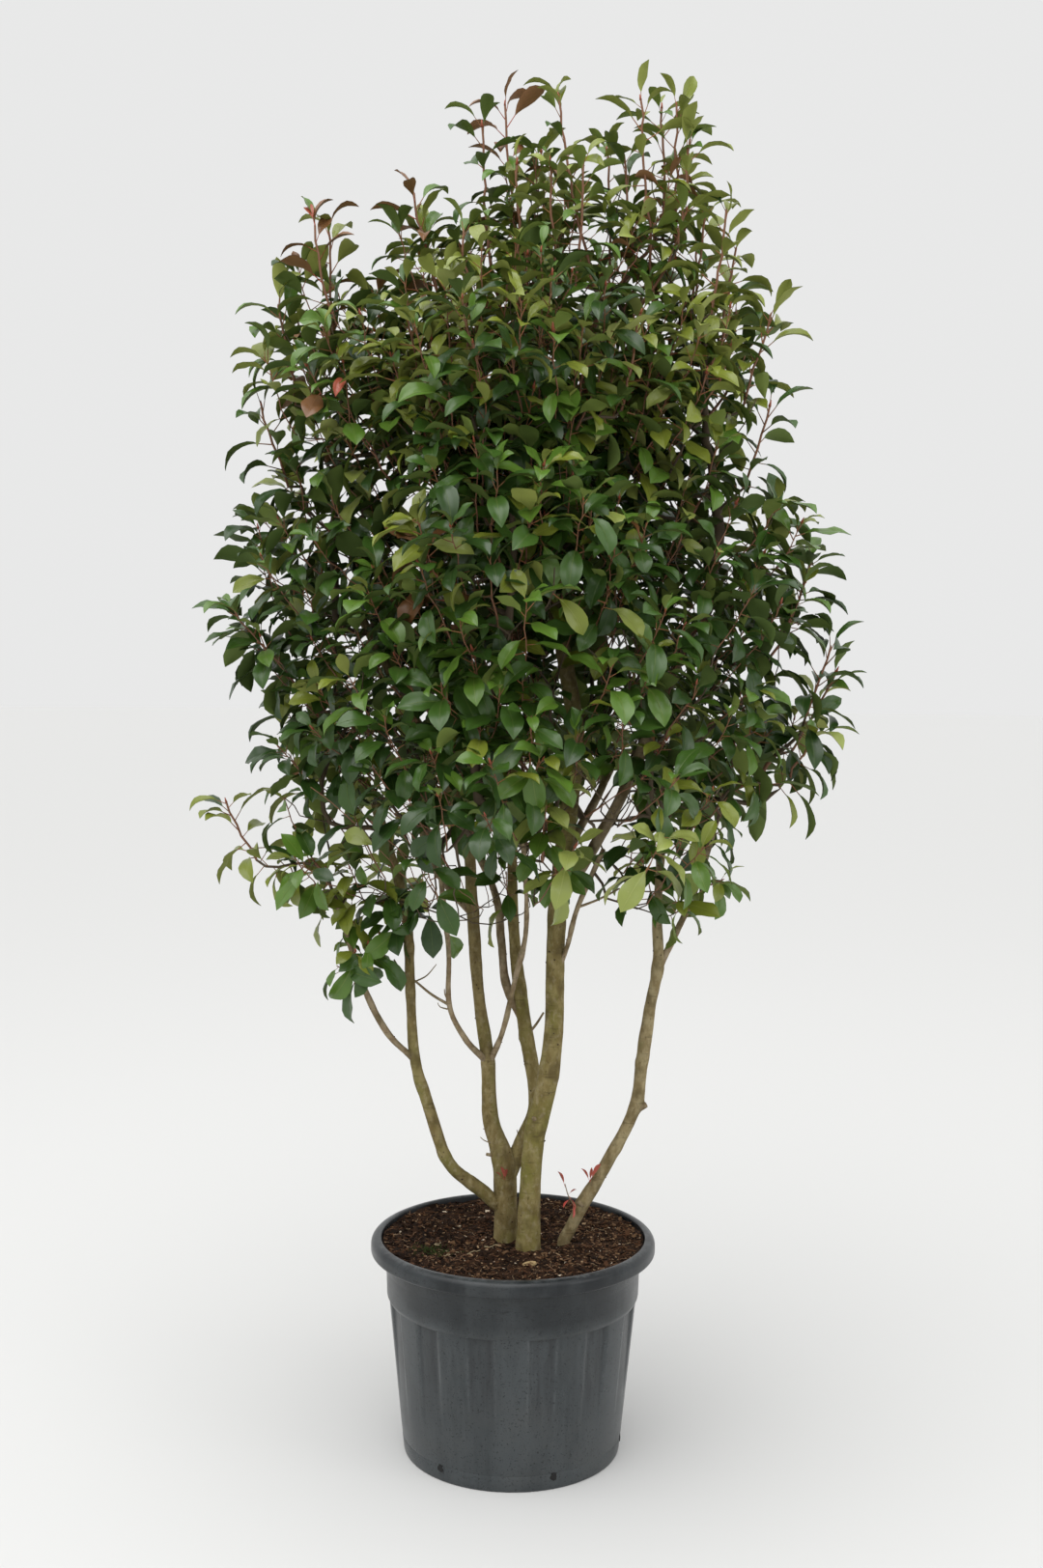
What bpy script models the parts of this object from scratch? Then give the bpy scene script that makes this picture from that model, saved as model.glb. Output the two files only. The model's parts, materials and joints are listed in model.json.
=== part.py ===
"""Potted photinia: a shrub of several stems in a round nursery pot.

The origin is the centre of the pot's flat underside, +Z is up, and -Y is the side
that is seen in front. Lengths are metres, angles are degrees.
"""

import math

import bmesh
import bpy
from mathutils import Matrix, Vector, noise

# Driving sizes
PLANT_TOP = 2.87
GAP = 0.0005
WELD = 0.00005

POT_HEIGHT = 0.456
POT_FOOT_RADIUS = 0.229
POT_TAPER = 0.0985
POT_WALL = 0.004
POT_FLOOR = 0.005
FOOT_FILLET = 0.003
RIM_RADIUS = 0.300
RIM_OPENING_RADIUS = 0.278
RIM_OPENING_TAPER = 0.003
RIM_DEPTH = 0.033
RIM_CURL = 0.006
RIM_INNER_EDGE = 0.004
BAND_RADIUS = 0.266
BAND_FLARE = 0.003
BAND_BOTTOM = 0.335
BAND_CHAMFER = 0.010
BAND_INNER_SLOPE = 0.020

PANEL_COUNT = 13
PANEL_BOTTOM = 0.110
PANEL_RECESS = 0.0065
PANEL_EDGE = 0.0012
POT_SEGMENTS = 4 * PANEL_COUNT

DRAIN_COUNT = 6
DRAIN_RADIUS = 0.0075
DRAIN_LENGTH = 0.04
DRAIN_HEIGHT = 0.028
DRAIN_FIRST_ANGLE = 22.0
DRAIN_SEGMENTS = 8

SOIL_TOP = 0.438
SOIL_LEVEL_RADIUS = 0.16
SOIL_EDGE_RISE = 0.006
SOIL_LEAST_RISE = 0.4
SOIL_ROUGH_SCALE = 14.0
SOIL_RIM_CLEAR = 0.002
SOIL_RINGS = 3

FOOT_FLARE = 0.10
FOOT_FLARE_HEIGHT = 0.03
THICK_LIMB = 0.01
PATH_PARTS = 12

MASS_SEGMENTS = 14
MASS_RINGS = 10
MASS_GAP = 0.005
BROAD_LUMP = 0.17
BROAD_LUMP_SCALE = 1.5
FINE_LUMP = 0.10
FINE_LUMP_SCALE = 3.6
LUMP_STEP = Vector((7.3, 3.1, 5.7))
TIP_PULL = 0.45
TIP_NARROWNESS = 6

# Colours of the real surfaces
POT_COLOUR = (0.055, 0.060, 0.062)
SOIL_COLOUR = (0.050, 0.028, 0.018)
BARK_COLOUR = (0.235, 0.205, 0.105)
TWIG_COLOUR = (0.205, 0.165, 0.110)
LEAF_COLOUR = (0.035, 0.105, 0.022)


def clear_scene():
    for item in list(bpy.data.objects):
        bpy.data.objects.remove(item, do_unlink=True)


def finish_material(name, colour, roughness):
    material = bpy.data.materials.new(name)
    material.use_nodes = True
    shader = material.node_tree.nodes["Principled BSDF"]
    shader.inputs["Base Color"].default_value = (*colour, 1.0)
    shader.inputs["Roughness"].default_value = roughness
    shader.inputs["Metallic"].default_value = 0.0
    return material


def add_object(name, mesh, material, smooth_angle=None):
    thing = bpy.data.objects.new(name, mesh)
    bpy.context.scene.collection.objects.link(thing)
    mesh.materials.append(material)
    if smooth_angle is not None:
        mesh.shade_smooth()
        mesh.set_sharp_from_angle(angle=math.radians(smooth_angle))
    return thing


def mesh_from(name, bm):
    bmesh.ops.recalc_face_normals(bm, faces=bm.faces)
    mesh = bpy.data.meshes.new(name)
    bm.to_mesh(mesh)
    bm.free()
    return mesh


def hide_cutter(cutter):
    cutter.hide_render = True
    cutter.display_type = "WIRE"


def cut(target, cutter):
    modifier = target.modifiers.new("cut", "BOOLEAN")
    modifier.operation = "DIFFERENCE"
    modifier.solver = "EXACT"
    modifier.object = cutter


def turned_body(profile, first_angle):
    """A closed body turned from a profile that starts and ends on the axis."""
    bm = bmesh.new()
    points = [bm.verts.new((radius, 0.0, height)) for radius, height in profile]
    edges = [bm.edges.new(pair) for pair in zip(points, points[1:])]
    turn = Matrix.Rotation(math.radians(first_angle), 3, "Z")
    bmesh.ops.rotate(bm, verts=points, matrix=turn)
    bmesh.ops.spin(
        bm,
        geom=points + edges,
        cent=(0.0, 0.0, 0.0),
        axis=(0.0, 0.0, 1.0),
        angle=math.tau,
        steps=POT_SEGMENTS,
        use_merge=True,
    )
    bmesh.ops.remove_doubles(bm, verts=bm.verts, dist=WELD)
    return bm


# The pot


def pot_wall_radius(height):
    return POT_FOOT_RADIUS + POT_TAPER * height


def pot_inner_radius(height):
    """The inner wall stays one wall behind the deepest part of the recessed panels."""
    depth_share = max(0.0, (height - PANEL_BOTTOM) / (BAND_BOTTOM - PANEL_BOTTOM))
    return pot_wall_radius(height) - POT_WALL - PANEL_RECESS * depth_share


def pot_outer_profile():
    band_foot = BAND_BOTTOM - BAND_CHAMFER
    rim_foot = POT_HEIGHT - RIM_DEPTH
    return [
        (0.0, 0.0),
        (POT_FOOT_RADIUS - FOOT_FILLET, 0.0),
        (POT_FOOT_RADIUS, FOOT_FILLET),
        (pot_wall_radius(PANEL_BOTTOM), PANEL_BOTTOM),
        (pot_wall_radius(band_foot), band_foot),
        (BAND_RADIUS, BAND_BOTTOM),
        (BAND_RADIUS + BAND_FLARE, rim_foot),
        (RIM_RADIUS - RIM_CURL, rim_foot),
        (RIM_RADIUS, rim_foot + 2 * RIM_CURL),
        (RIM_RADIUS - RIM_CURL / 2, POT_HEIGHT - RIM_CURL),
        (RIM_RADIUS - 2 * RIM_CURL, POT_HEIGHT),
        (RIM_OPENING_RADIUS + RIM_INNER_EDGE, POT_HEIGHT),
    ]


def pot_inner_profile():
    return [
        (RIM_OPENING_RADIUS, POT_HEIGHT - RIM_INNER_EDGE),
        (RIM_OPENING_RADIUS - RIM_OPENING_TAPER, SOIL_TOP),
        (BAND_RADIUS - POT_WALL, BAND_BOTTOM + BAND_INNER_SLOPE),
        (pot_inner_radius(BAND_BOTTOM), BAND_BOTTOM),
        (pot_inner_radius(PANEL_BOTTOM), PANEL_BOTTOM),
        (pot_inner_radius(POT_FLOOR), POT_FLOOR),
        (0.0, POT_FLOOR),
    ]


def panel_faces(bm, centre_angle):
    """The outer wall's faces between the panel's foot and the band, at one angle."""
    faces = []
    half_width = 180.0 / (2 * PANEL_COUNT)
    for face in bm.faces:
        centre = face.calc_center_median()
        outer = math.hypot(centre.x, centre.y) > pot_wall_radius(centre.z) - POT_WALL / 2
        if not (PANEL_BOTTOM < centre.z < BAND_BOTTOM - BAND_CHAMFER and outer):
            continue
        angle = math.degrees(math.atan2(centre.x, -centre.y))
        off = (angle - centre_angle + 180.0) % 360.0 - 180.0
        if abs(off) < half_width:
            faces.append(face)
    return faces


def press_panel_in(bm, centre_angle):
    """Sink one panel, deepest under the band and level with the wall at its foot."""
    faces = panel_faces(bm, centre_angle)
    bmesh.ops.inset_region(bm, faces=faces, thickness=PANEL_EDGE, use_even_offset=True)
    verts = {vert for face in faces for vert in face.verts}
    span = BAND_BOTTOM - BAND_CHAMFER - PANEL_BOTTOM
    for vert in verts:
        depth = PANEL_RECESS * max(0.0, (vert.co.z - PANEL_BOTTOM) / span)
        flat = Vector((vert.co.x, vert.co.y, 0.0)).normalized()
        vert.co -= flat * depth


def drain_cutter(index, material):
    angle = DRAIN_FIRST_ANGLE + index * 360.0 / DRAIN_COUNT
    bm = bmesh.new()
    outward = Vector((math.sin(math.radians(angle)), -math.cos(math.radians(angle)), 0.0))
    place = Matrix.Translation(outward * POT_FOOT_RADIUS + Vector((0.0, 0.0, DRAIN_HEIGHT)))
    bmesh.ops.create_cone(
        bm,
        cap_ends=True,
        segments=DRAIN_SEGMENTS,
        radius1=DRAIN_RADIUS,
        radius2=DRAIN_RADIUS,
        depth=DRAIN_LENGTH,
        matrix=place @ outward.to_track_quat("Z", "Y").to_matrix().to_4x4(),
    )
    cutter = add_object(f"drain_cutter_{index}", mesh_from("drain_cutter", bm), material)
    hide_cutter(cutter)
    return cutter


def make_pot(material):
    step = 360.0 / POT_SEGMENTS
    bm = turned_body(pot_outer_profile() + pot_inner_profile(), step)
    for index in range(PANEL_COUNT):
        press_panel_in(bm, 360.0 / PANEL_COUNT * (index + 0.5))
    pot = add_object("pot", mesh_from("pot", bm), material, smooth_angle=25)
    for index in range(DRAIN_COUNT):
        cut(pot, drain_cutter(index, material))
    return pot


# The compost


def soil_height(place):
    """Level round the stems, and a little higher and uneven towards the rim."""
    away = math.hypot(place.x, place.y)
    share = (away - SOIL_LEVEL_RADIUS) / (RIM_OPENING_RADIUS - SOIL_LEVEL_RADIUS)
    if share <= 0.0:
        return SOIL_TOP
    rough = 0.5 + 0.5 * noise.noise(place * SOIL_ROUGH_SCALE)
    return SOIL_TOP + SOIL_EDGE_RISE * share * (SOIL_LEAST_RISE + rough)


def make_soil(material):
    clear = 2 * GAP
    profile = [
        (0.0, POT_FLOOR + GAP),
        (pot_inner_radius(POT_FLOOR) - clear, POT_FLOOR + GAP),
        (pot_inner_radius(PANEL_BOTTOM) - clear, PANEL_BOTTOM),
        (pot_inner_radius(BAND_BOTTOM) - clear, BAND_BOTTOM),
        (BAND_RADIUS - POT_WALL - clear, BAND_BOTTOM + BAND_INNER_SLOPE),
    ]
    rim = RIM_OPENING_RADIUS - RIM_OPENING_TAPER - SOIL_RIM_CLEAR
    for ring in range(SOIL_RINGS):
        profile.append((rim - ring * (rim - SOIL_LEVEL_RADIUS) / (SOIL_RINGS - 1), SOIL_TOP))
    profile.append((0.0, SOIL_TOP))
    bm = turned_body(profile, 0.0)
    for vert in bm.verts:
        if vert.co.z > SOIL_TOP - 0.001:
            vert.co.z = soil_height(vert.co)
    return add_object("soil", mesh_from("soil", bm), material, smooth_angle=50)


# Stems and boughs


def smooth_path(points, count):
    """Evenly spaced places on a smooth curve through a limb's own points."""
    knots = [Vector(point) for point in points]
    knots = [knots[0] * 2 - knots[1]] + knots + [knots[-1] * 2 - knots[-2]]
    fine = []
    for index in range(1, len(knots) - 2):
        before, start, end, after = knots[index - 1: index + 3]
        for part in range(PATH_PARTS):
            t = part / PATH_PARTS
            fine.append(
                0.5 * (2 * start + (end - before) * t
                       + (2 * before - 5 * start + 4 * end - after) * t ** 2
                       + (3 * start - before - 3 * end + after) * t ** 3)
            )
    fine.append(knots[-2])
    lengths = [0.0]
    for start, end in zip(fine, fine[1:]):
        lengths.append(lengths[-1] + (end - start).length)
    path = []
    place = 0
    for index in range(count):
        target = lengths[-1] * index / (count - 1)
        while place < len(fine) - 2 and lengths[place + 1] < target:
            place += 1
        share = (target - lengths[place]) / (lengths[place + 1] - lengths[place])
        path.append(fine[place].lerp(fine[place + 1], share))
    return path


def limb_radius(share, radii):
    """The radius along a limb, read from radii that are spaced evenly from foot to tip."""
    spot = share * (len(radii) - 1)
    low = min(int(spot), len(radii) - 2)
    return radii[low] + (radii[low + 1] - radii[low]) * (spot - low)


def limb_mesh(name, points, radii, sides, rings, in_soil, grow=0.0):
    """One tapering limb. A limb in the soil has a flat, level foot that flares a little."""
    path = smooth_path(points, rings)
    bm = bmesh.new()
    loops = []
    normal = None
    for index, place in enumerate(path):
        ahead = path[min(index + 1, rings - 1)]
        behind = path[max(index - 1, 0)]
        along = (ahead - behind).normalized()
        if normal is None:
            normal = Vector((0.0, -1.0, 0.0))
        normal = (normal - along * normal.dot(along)).normalized()
        across = along.cross(normal)
        radius = limb_radius(index / (rings - 1), radii) + grow
        if in_soil:
            lift = place.z - points[0][2]
            radius *= 1.0 + FOOT_FLARE * math.exp(-lift / FOOT_FLARE_HEIGHT)
        ring = []
        for side in range(sides):
            angle = math.tau * side / sides
            offset = (normal * math.cos(angle) + across * math.sin(angle)) * radius
            if in_soil and index == 0:
                offset -= along * (offset.z / along.z)
            ring.append(bm.verts.new(place + offset))
        loops.append(ring)
    for lower, upper in zip(loops, loops[1:]):
        for side in range(sides):
            turn = (side + 1) % sides
            bm.faces.new((lower[side], lower[turn], upper[turn], upper[side]))
    bm.faces.new(loops[0])
    bm.faces.new(loops[-1])
    return mesh_from(name, bm)


# Each limb: the limb that carries it (None in the soil), the masses that it enters,
# its sides and rings, its radii from foot to tip, and the points that it passes.
LIMBS = {
    "left_stem": {
        "from": None,
        "into": ["mid_left"],
        "shape": (10, 17),
        "radii": (0.0225, 0.0245, 0.0175, 0.0145, 0.0130, 0.0126, 0.0122, 0.0116, 0.0110, 0.0103,
                  0.0096, 0.0088),
        "points": [
            (-0.016, 0.026, SOIL_TOP), (-0.017, 0.026, 0.520), (-0.023, 0.027, 0.610),
            (-0.050, 0.030, 0.697), (-0.057, 0.037, 0.814), (-0.077, 0.042, 0.957),
            (-0.093, 0.045, 1.151), (-0.102, 0.045, 1.284), (-0.138, 0.045, 1.392),
            (-0.215, 0.040, 1.540), (-0.325, 0.025, 1.750),
        ],
    },
    "left_bough": {
        "from": "left_stem",
        "into": ["low_left"],
        "shape": (10, 14),
        "radii": (0.0155, 0.0130, 0.0118, 0.0105, 0.0098, 0.0092, 0.0080),
        "points": [
            (-0.018, 0.026, 0.495), (-0.073, 0.010, 0.549), (-0.136, -0.010, 0.609),
            (-0.173, -0.020, 0.712), (-0.208, -0.030, 0.837), (-0.218, -0.040, 0.994),
            (-0.230, -0.043, 1.160), (-0.290, -0.055, 1.370),
        ],
    },
    "left_low_branch": {
        "from": "left_bough",
        "into": ["low_left"],
        "shape": (8, 8),
        "radii": (0.0072, 0.0064, 0.0056, 0.0048),
        "points": [
            (-0.207, -0.030, 0.832), (-0.266, -0.050, 0.898), (-0.314, -0.065, 0.999),
            (-0.365, -0.078, 1.170),
        ],
    },
    "left_inner_branch": {
        "from": "left_stem",
        "into": ["low_front"],
        "shape": (8, 11),
        "radii": (0.0068, 0.0060, 0.0058, 0.0054, 0.0050),
        "points": [
            (-0.058, 0.034, 0.816), (-0.104, 0.000, 0.872), (-0.137, -0.020, 0.948),
            (-0.138, -0.045, 1.060), (-0.149, -0.085, 1.178), (-0.160, -0.205, 1.380),
        ],
    },
    "inner_right_branch": {
        "from": "left_stem",
        "into": ["low_front"],
        "shape": (8, 10),
        "radii": (0.0060, 0.0052, 0.0048, 0.0045),
        "points": [
            (-0.056, 0.034, 0.808), (-0.026, 0.010, 0.887), (-0.001, -0.015, 1.001),
            (0.022, -0.060, 1.129), (0.010, -0.225, 1.370),
        ],
    },
    "left_upper_limb": {
        "from": "left_stem",
        "into": ["low_left_back"],
        "shape": (8, 8),
        "radii": (0.0092, 0.0084, 0.0078, 0.0070),
        "points": [
            (-0.092, 0.045, 1.132), (-0.146, 0.075, 1.187), (-0.190, 0.115, 1.250),
            (-0.220, 0.170, 1.360),
        ],
    },
    "back_stem": {
        "from": "left_stem",
        "into": ["mid_back"],
        "shape": (10, 16),
        "radii": (0.0150, 0.0138, 0.0140, 0.0110, 0.0108, 0.0104, 0.0090),
        "points": [
            (-0.018, 0.027, 0.560), (0.018, 0.044, 0.642), (0.047, 0.055, 0.722),
            (0.026, 0.070, 0.860), (0.008, 0.085, 0.974), (-0.005, 0.100, 1.105),
            (-0.010, 0.120, 1.260), (-0.010, 0.150, 1.450), (0.000, 0.225, 1.770),
        ],
    },
    "back_left_branch": {
        "from": "back_stem",
        "into": ["low_left_back"],
        "shape": (8, 9),
        "radii": (0.0092, 0.0084, 0.0078, 0.0068),
        "points": [
            (0.014, 0.077, 0.902), (-0.020, 0.090, 0.972), (-0.032, 0.108, 1.070),
            (-0.052, 0.135, 1.182), (-0.160, 0.215, 1.390),
        ],
    },
    "centre_stem": {
        "from": None,
        "into": ["heart"],
        "shape": (10, 19),
        "radii": (0.0232, 0.0218, 0.0212, 0.0195, 0.0188, 0.0186, 0.0180, 0.0160, 0.0125),
        "points": [
            (0.032, -0.034, SOIL_TOP), (0.034, -0.034, 0.545), (0.044, -0.035, 0.679),
            (0.068, -0.033, 0.785), (0.081, -0.030, 0.899), (0.084, -0.022, 1.091),
            (0.091, -0.018, 1.210), (0.110, -0.002, 1.370), (0.121, 0.010, 1.516),
            (0.095, 0.014, 1.680), (0.050, 0.016, 1.900),
        ],
    },
    "centre_twig": {
        "from": "centre_stem",
        "into": ["low_right_front"],
        "shape": (8, 7),
        "radii": (0.0058, 0.0052, 0.0046),
        "points": [
            (0.084, -0.024, 1.010), (0.107, -0.040, 1.077), (0.127, -0.070, 1.163),
            (0.175, -0.140, 1.290),
        ],
    },
    "right_upper_limb": {
        "from": "centre_stem",
        "into": ["mid_right"],
        "shape": (8, 9),
        "radii": (0.0125, 0.0115, 0.0105, 0.0090),
        "points": [
            (0.092, -0.018, 1.170), (0.151, -0.025, 1.267), (0.215, -0.030, 1.387),
            (0.275, -0.030, 1.530), (0.360, -0.010, 1.740),
        ],
    },
    "back_right_limb": {
        "from": "centre_stem",
        "into": ["low_right_back"],
        "shape": (8, 7),
        "radii": (0.0100, 0.0090, 0.0078),
        "points": [
            (0.093, -0.016, 1.215), (0.122, 0.060, 1.290), (0.165, 0.130, 1.360),
            (0.205, 0.215, 1.430),
        ],
    },
    "right_stem": {
        "from": None,
        "into": ["low_right_front"],
        "shape": (10, 16),
        "radii": (0.0115, 0.0135, 0.0130, 0.0128, 0.0118, 0.0110, 0.0085, 0.0075),
        "points": [
            (0.104, -0.008, SOIL_TOP), (0.148, -0.008, 0.525), (0.202, -0.010, 0.624),
            (0.253, -0.014, 0.731), (0.267, -0.020, 0.833), (0.281, -0.025, 0.948),
            (0.297, -0.030, 1.040), (0.292, -0.050, 1.150), (0.292, -0.160, 1.350),
        ],
    },
    "right_fork": {
        "from": "right_stem",
        "into": ["low_right"],
        "shape": (8, 8),
        "radii": (0.0076, 0.0070, 0.0064, 0.0056),
        "points": [
            (0.294, -0.029, 1.022), (0.331, -0.028, 1.101), (0.369, -0.020, 1.188),
            (0.425, 0.000, 1.360),
        ],
    },
}


# Each mass of foliage: its centre, its half sizes and the shoot tips that it reaches.
MASSES = {
    "low_left": ((-0.42, -0.06, 1.36), (0.18, 0.23, 0.22),
                 [(-0.36, -0.08, 1.02), (-0.65, -0.04, 1.385), (-0.53, -0.06, 1.18)]),
    "low_left_back": ((-0.28, 0.28, 1.38), (0.24, 0.22, 0.23),
                      [(-0.38, 0.40, 1.14), (-0.26, 0.50, 1.44)]),
    "low_front": ((-0.06, -0.31, 1.42), (0.24, 0.19, 0.21),
                  [(-0.02, -0.51, 1.38), (-0.10, -0.31, 1.20)]),
    "low_right_front": ((0.27, -0.25, 1.39), (0.21, 0.20, 0.20),
                        [(0.31, -0.27, 1.17), (0.31, -0.46, 1.40)]),
    "low_right": ((0.47, 0.04, 1.46), (0.18, 0.21, 0.20),
                  [(0.64, 0.01, 1.54), (0.47, 0.03, 1.20)]),
    "low_right_back": ((0.22, 0.32, 1.44), (0.24, 0.21, 0.22),
                       [(0.20, 0.53, 1.48), (0.30, 0.34, 1.20)]),
    "mid_left": ((-0.40, 0.00, 1.82), (0.235, 0.29, 0.27),
                 [(-0.645, -0.02, 1.83), (-0.62, -0.05, 1.62)]),
    "mid_front": ((-0.02, -0.30, 1.86), (0.30, 0.22, 0.27),
                  [(-0.05, -0.54, 1.92), (0.16, -0.47, 1.78)]),
    "mid_right": ((0.41, 0.00, 1.87), (0.235, 0.29, 0.27),
                  [(0.65, -0.02, 1.90), (0.70, 0.00, 1.665), (0.42, -0.33, 1.80)]),
    "mid_back": ((0.03, 0.30, 1.88), (0.31, 0.23, 0.27),
                 [(0.00, 0.55, 1.94), (0.28, 0.43, 1.84)]),
    "heart": ((0.02, 0.00, 2.05), (0.23, 0.16, 0.32), []),
    "up_left": ((-0.36, -0.01, 2.23), (0.21, 0.26, 0.22),
                [(-0.575, -0.03, 2.39), (-0.49, -0.02, 2.535), (-0.37, 0.00, 2.57),
                 (-0.57, 0.02, 2.07)]),
    "up_front": ((-0.02, -0.25, 2.28), (0.27, 0.21, 0.23),
                 [(-0.10, -0.46, 2.38), (0.16, -0.40, 2.46)]),
    "up_right": ((0.37, -0.01, 2.24), (0.20, 0.26, 0.22),
                 [(0.57, -0.01, 2.34), (0.49, 0.00, 2.50), (0.60, 0.00, 2.05)]),
    "up_back": ((0.03, 0.26, 2.29), (0.27, 0.21, 0.23),
                [(-0.06, 0.46, 2.42), (0.20, 0.42, 2.44)]),
    "top_left": ((-0.20, 0.00, 2.51), (0.12, 0.16, 0.12),
                 [(-0.26, -0.02, 2.62), (-0.20, 0.00, 2.675)]),
    "top_centre": ((0.02, 0.00, 2.60), (0.12, 0.16, 0.16),
                   [(-0.026, 0.00, 2.85), (0.08, 0.00, 2.83)]),
    "top_right": ((0.27, 0.00, 2.58), (0.13, 0.16, 0.17),
                  [(0.19, 0.00, PLANT_TOP), (0.31, 0.03, 2.85), (0.405, 0.00, 2.735)]),
}


def reach_along(radii, direction):
    """How far an ellipsoid of these half sizes reaches in a direction."""
    return 1.0 / math.sqrt(sum((part / radius) ** 2 for part, radius in zip(direction, radii)))


def neighbour_planes(name):
    """Where a mass stops short of each of the others: a direction and a distance."""
    centre = Vector(MASSES[name][0])
    planes = []
    for other, (other_centre, other_radii, _) in MASSES.items():
        if other == name:
            continue
        apart = Vector(other_centre) - centre
        direction = apart.normalized()
        mine = reach_along(MASSES[name][1], direction)
        theirs = reach_along(other_radii, direction)
        share = apart.length * mine / (mine + theirs)
        planes.append((direction, share - MASS_GAP / 2))
    return planes


def kept_reach(direction, reach, planes):
    for normal, distance in planes:
        facing = direction.dot(normal)
        if facing > 0.0:
            reach = min(reach, distance / facing)
    return reach


def mass_mesh(name, number, grow=0.0):
    """A lumpy closed solid that stops short of its neighbours and reaches its tips."""
    centre, radii, tips = MASSES[name]
    centre = Vector(centre)
    planes = neighbour_planes(name)
    offset = LUMP_STEP * number
    bm = bmesh.new()
    bmesh.ops.create_uvsphere(bm, u_segments=MASS_SEGMENTS, v_segments=MASS_RINGS, radius=1.0)
    directions = {vert: vert.co.normalized() for vert in bm.verts}
    reaches = {}
    for vert, direction in directions.items():
        lumps = BROAD_LUMP * noise.noise(direction * BROAD_LUMP_SCALE + offset)
        lumps += FINE_LUMP * noise.noise(direction * FINE_LUMP_SCALE + offset * 2.0)
        reaches[vert] = reach_along(radii, direction) * (1.0 + lumps)
    for tip in tips:
        toward = Vector(tip) - centre
        aim = toward.normalized()
        nearest = max(directions, key=lambda vert: directions[vert].dot(aim))
        directions[nearest] = aim
        reaches[nearest] = toward.length
        for edge in nearest.link_edges:
            beside = edge.other_vert(nearest)
            room = toward.length - reaches[beside]
            if room > 0.0:
                facing = max(0.0, directions[beside].dot(aim))
                reaches[beside] += TIP_PULL * room * facing ** TIP_NARROWNESS
    for vert, direction in directions.items():
        reach = kept_reach(direction, reaches[vert], planes)
        vert.co = centre + direction * (reach + grow)
    return mesh_from(name, bm)


def make_masses(leaf):
    """The masses, and a slightly grown copy of each that a limb ends against."""
    entered = {name for limb in LIMBS.values() for name in limb["into"]}
    cutters = {}
    for number, name in enumerate(MASSES):
        add_object(name, mass_mesh(name, number), leaf)
        if name in entered:
            grown = mass_mesh(name, number, grow=2 * GAP)
            cutters[name] = add_object(f"{name}_cutter", grown, leaf)
            hide_cutter(cutters[name])
    return cutters


def make_limbs(bark, twig_bark, cutters):
    """Each limb is cut back to the limb that carries it and to the mass that it enters."""
    carriers = {limb["from"] for limb in LIMBS.values()}
    for name, limb in LIMBS.items():
        sides, rings = limb["shape"]
        radii = limb["radii"]
        in_soil = limb["from"] is None
        points = [Vector(point) for point in limb["points"]]
        if in_soil:
            points[0].z += GAP
        material = bark if radii[0] > THICK_LIMB else twig_bark
        mesh = limb_mesh(name, points, radii, sides, rings, in_soil)
        add_object(name, mesh, material, smooth_angle=60)
        if name in carriers:
            grown = limb_mesh(name, points, radii, sides, rings, in_soil, grow=GAP)
            cutters[name] = add_object(f"{name}_cutter", grown, material)
            hide_cutter(cutters[name])
    for name, limb in LIMBS.items():
        for other in [limb["from"]] + limb["into"]:
            if other is not None:
                cut(bpy.data.objects[name], cutters[other])


def main():
    clear_scene()
    pot_plastic = finish_material("pot_plastic", POT_COLOUR, 0.5)
    compost = finish_material("compost", SOIL_COLOUR, 0.95)
    bark = finish_material("stem_bark", BARK_COLOUR, 0.8)
    twig_bark = finish_material("twig_bark", TWIG_COLOUR, 0.75)
    leaf = finish_material("foliage", LEAF_COLOUR, 0.5)
    make_pot(pot_plastic)
    make_soil(compost)
    make_limbs(bark, twig_bark, make_masses(leaf))


main()
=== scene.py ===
"""Potted photinia: the looks of the shrub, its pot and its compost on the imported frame.

Lengths are metres in the frame's own axes: the origin is the centre of the pot's
underside, +Z is up and -Y is the side seen in front.
"""

import json
import math

import bmesh
import bpy
import numpy as np
from mathutils import Matrix, Vector, noise
from mathutils.bvhtree import BVHTree
from mathutils.kdtree import KDTree

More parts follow.
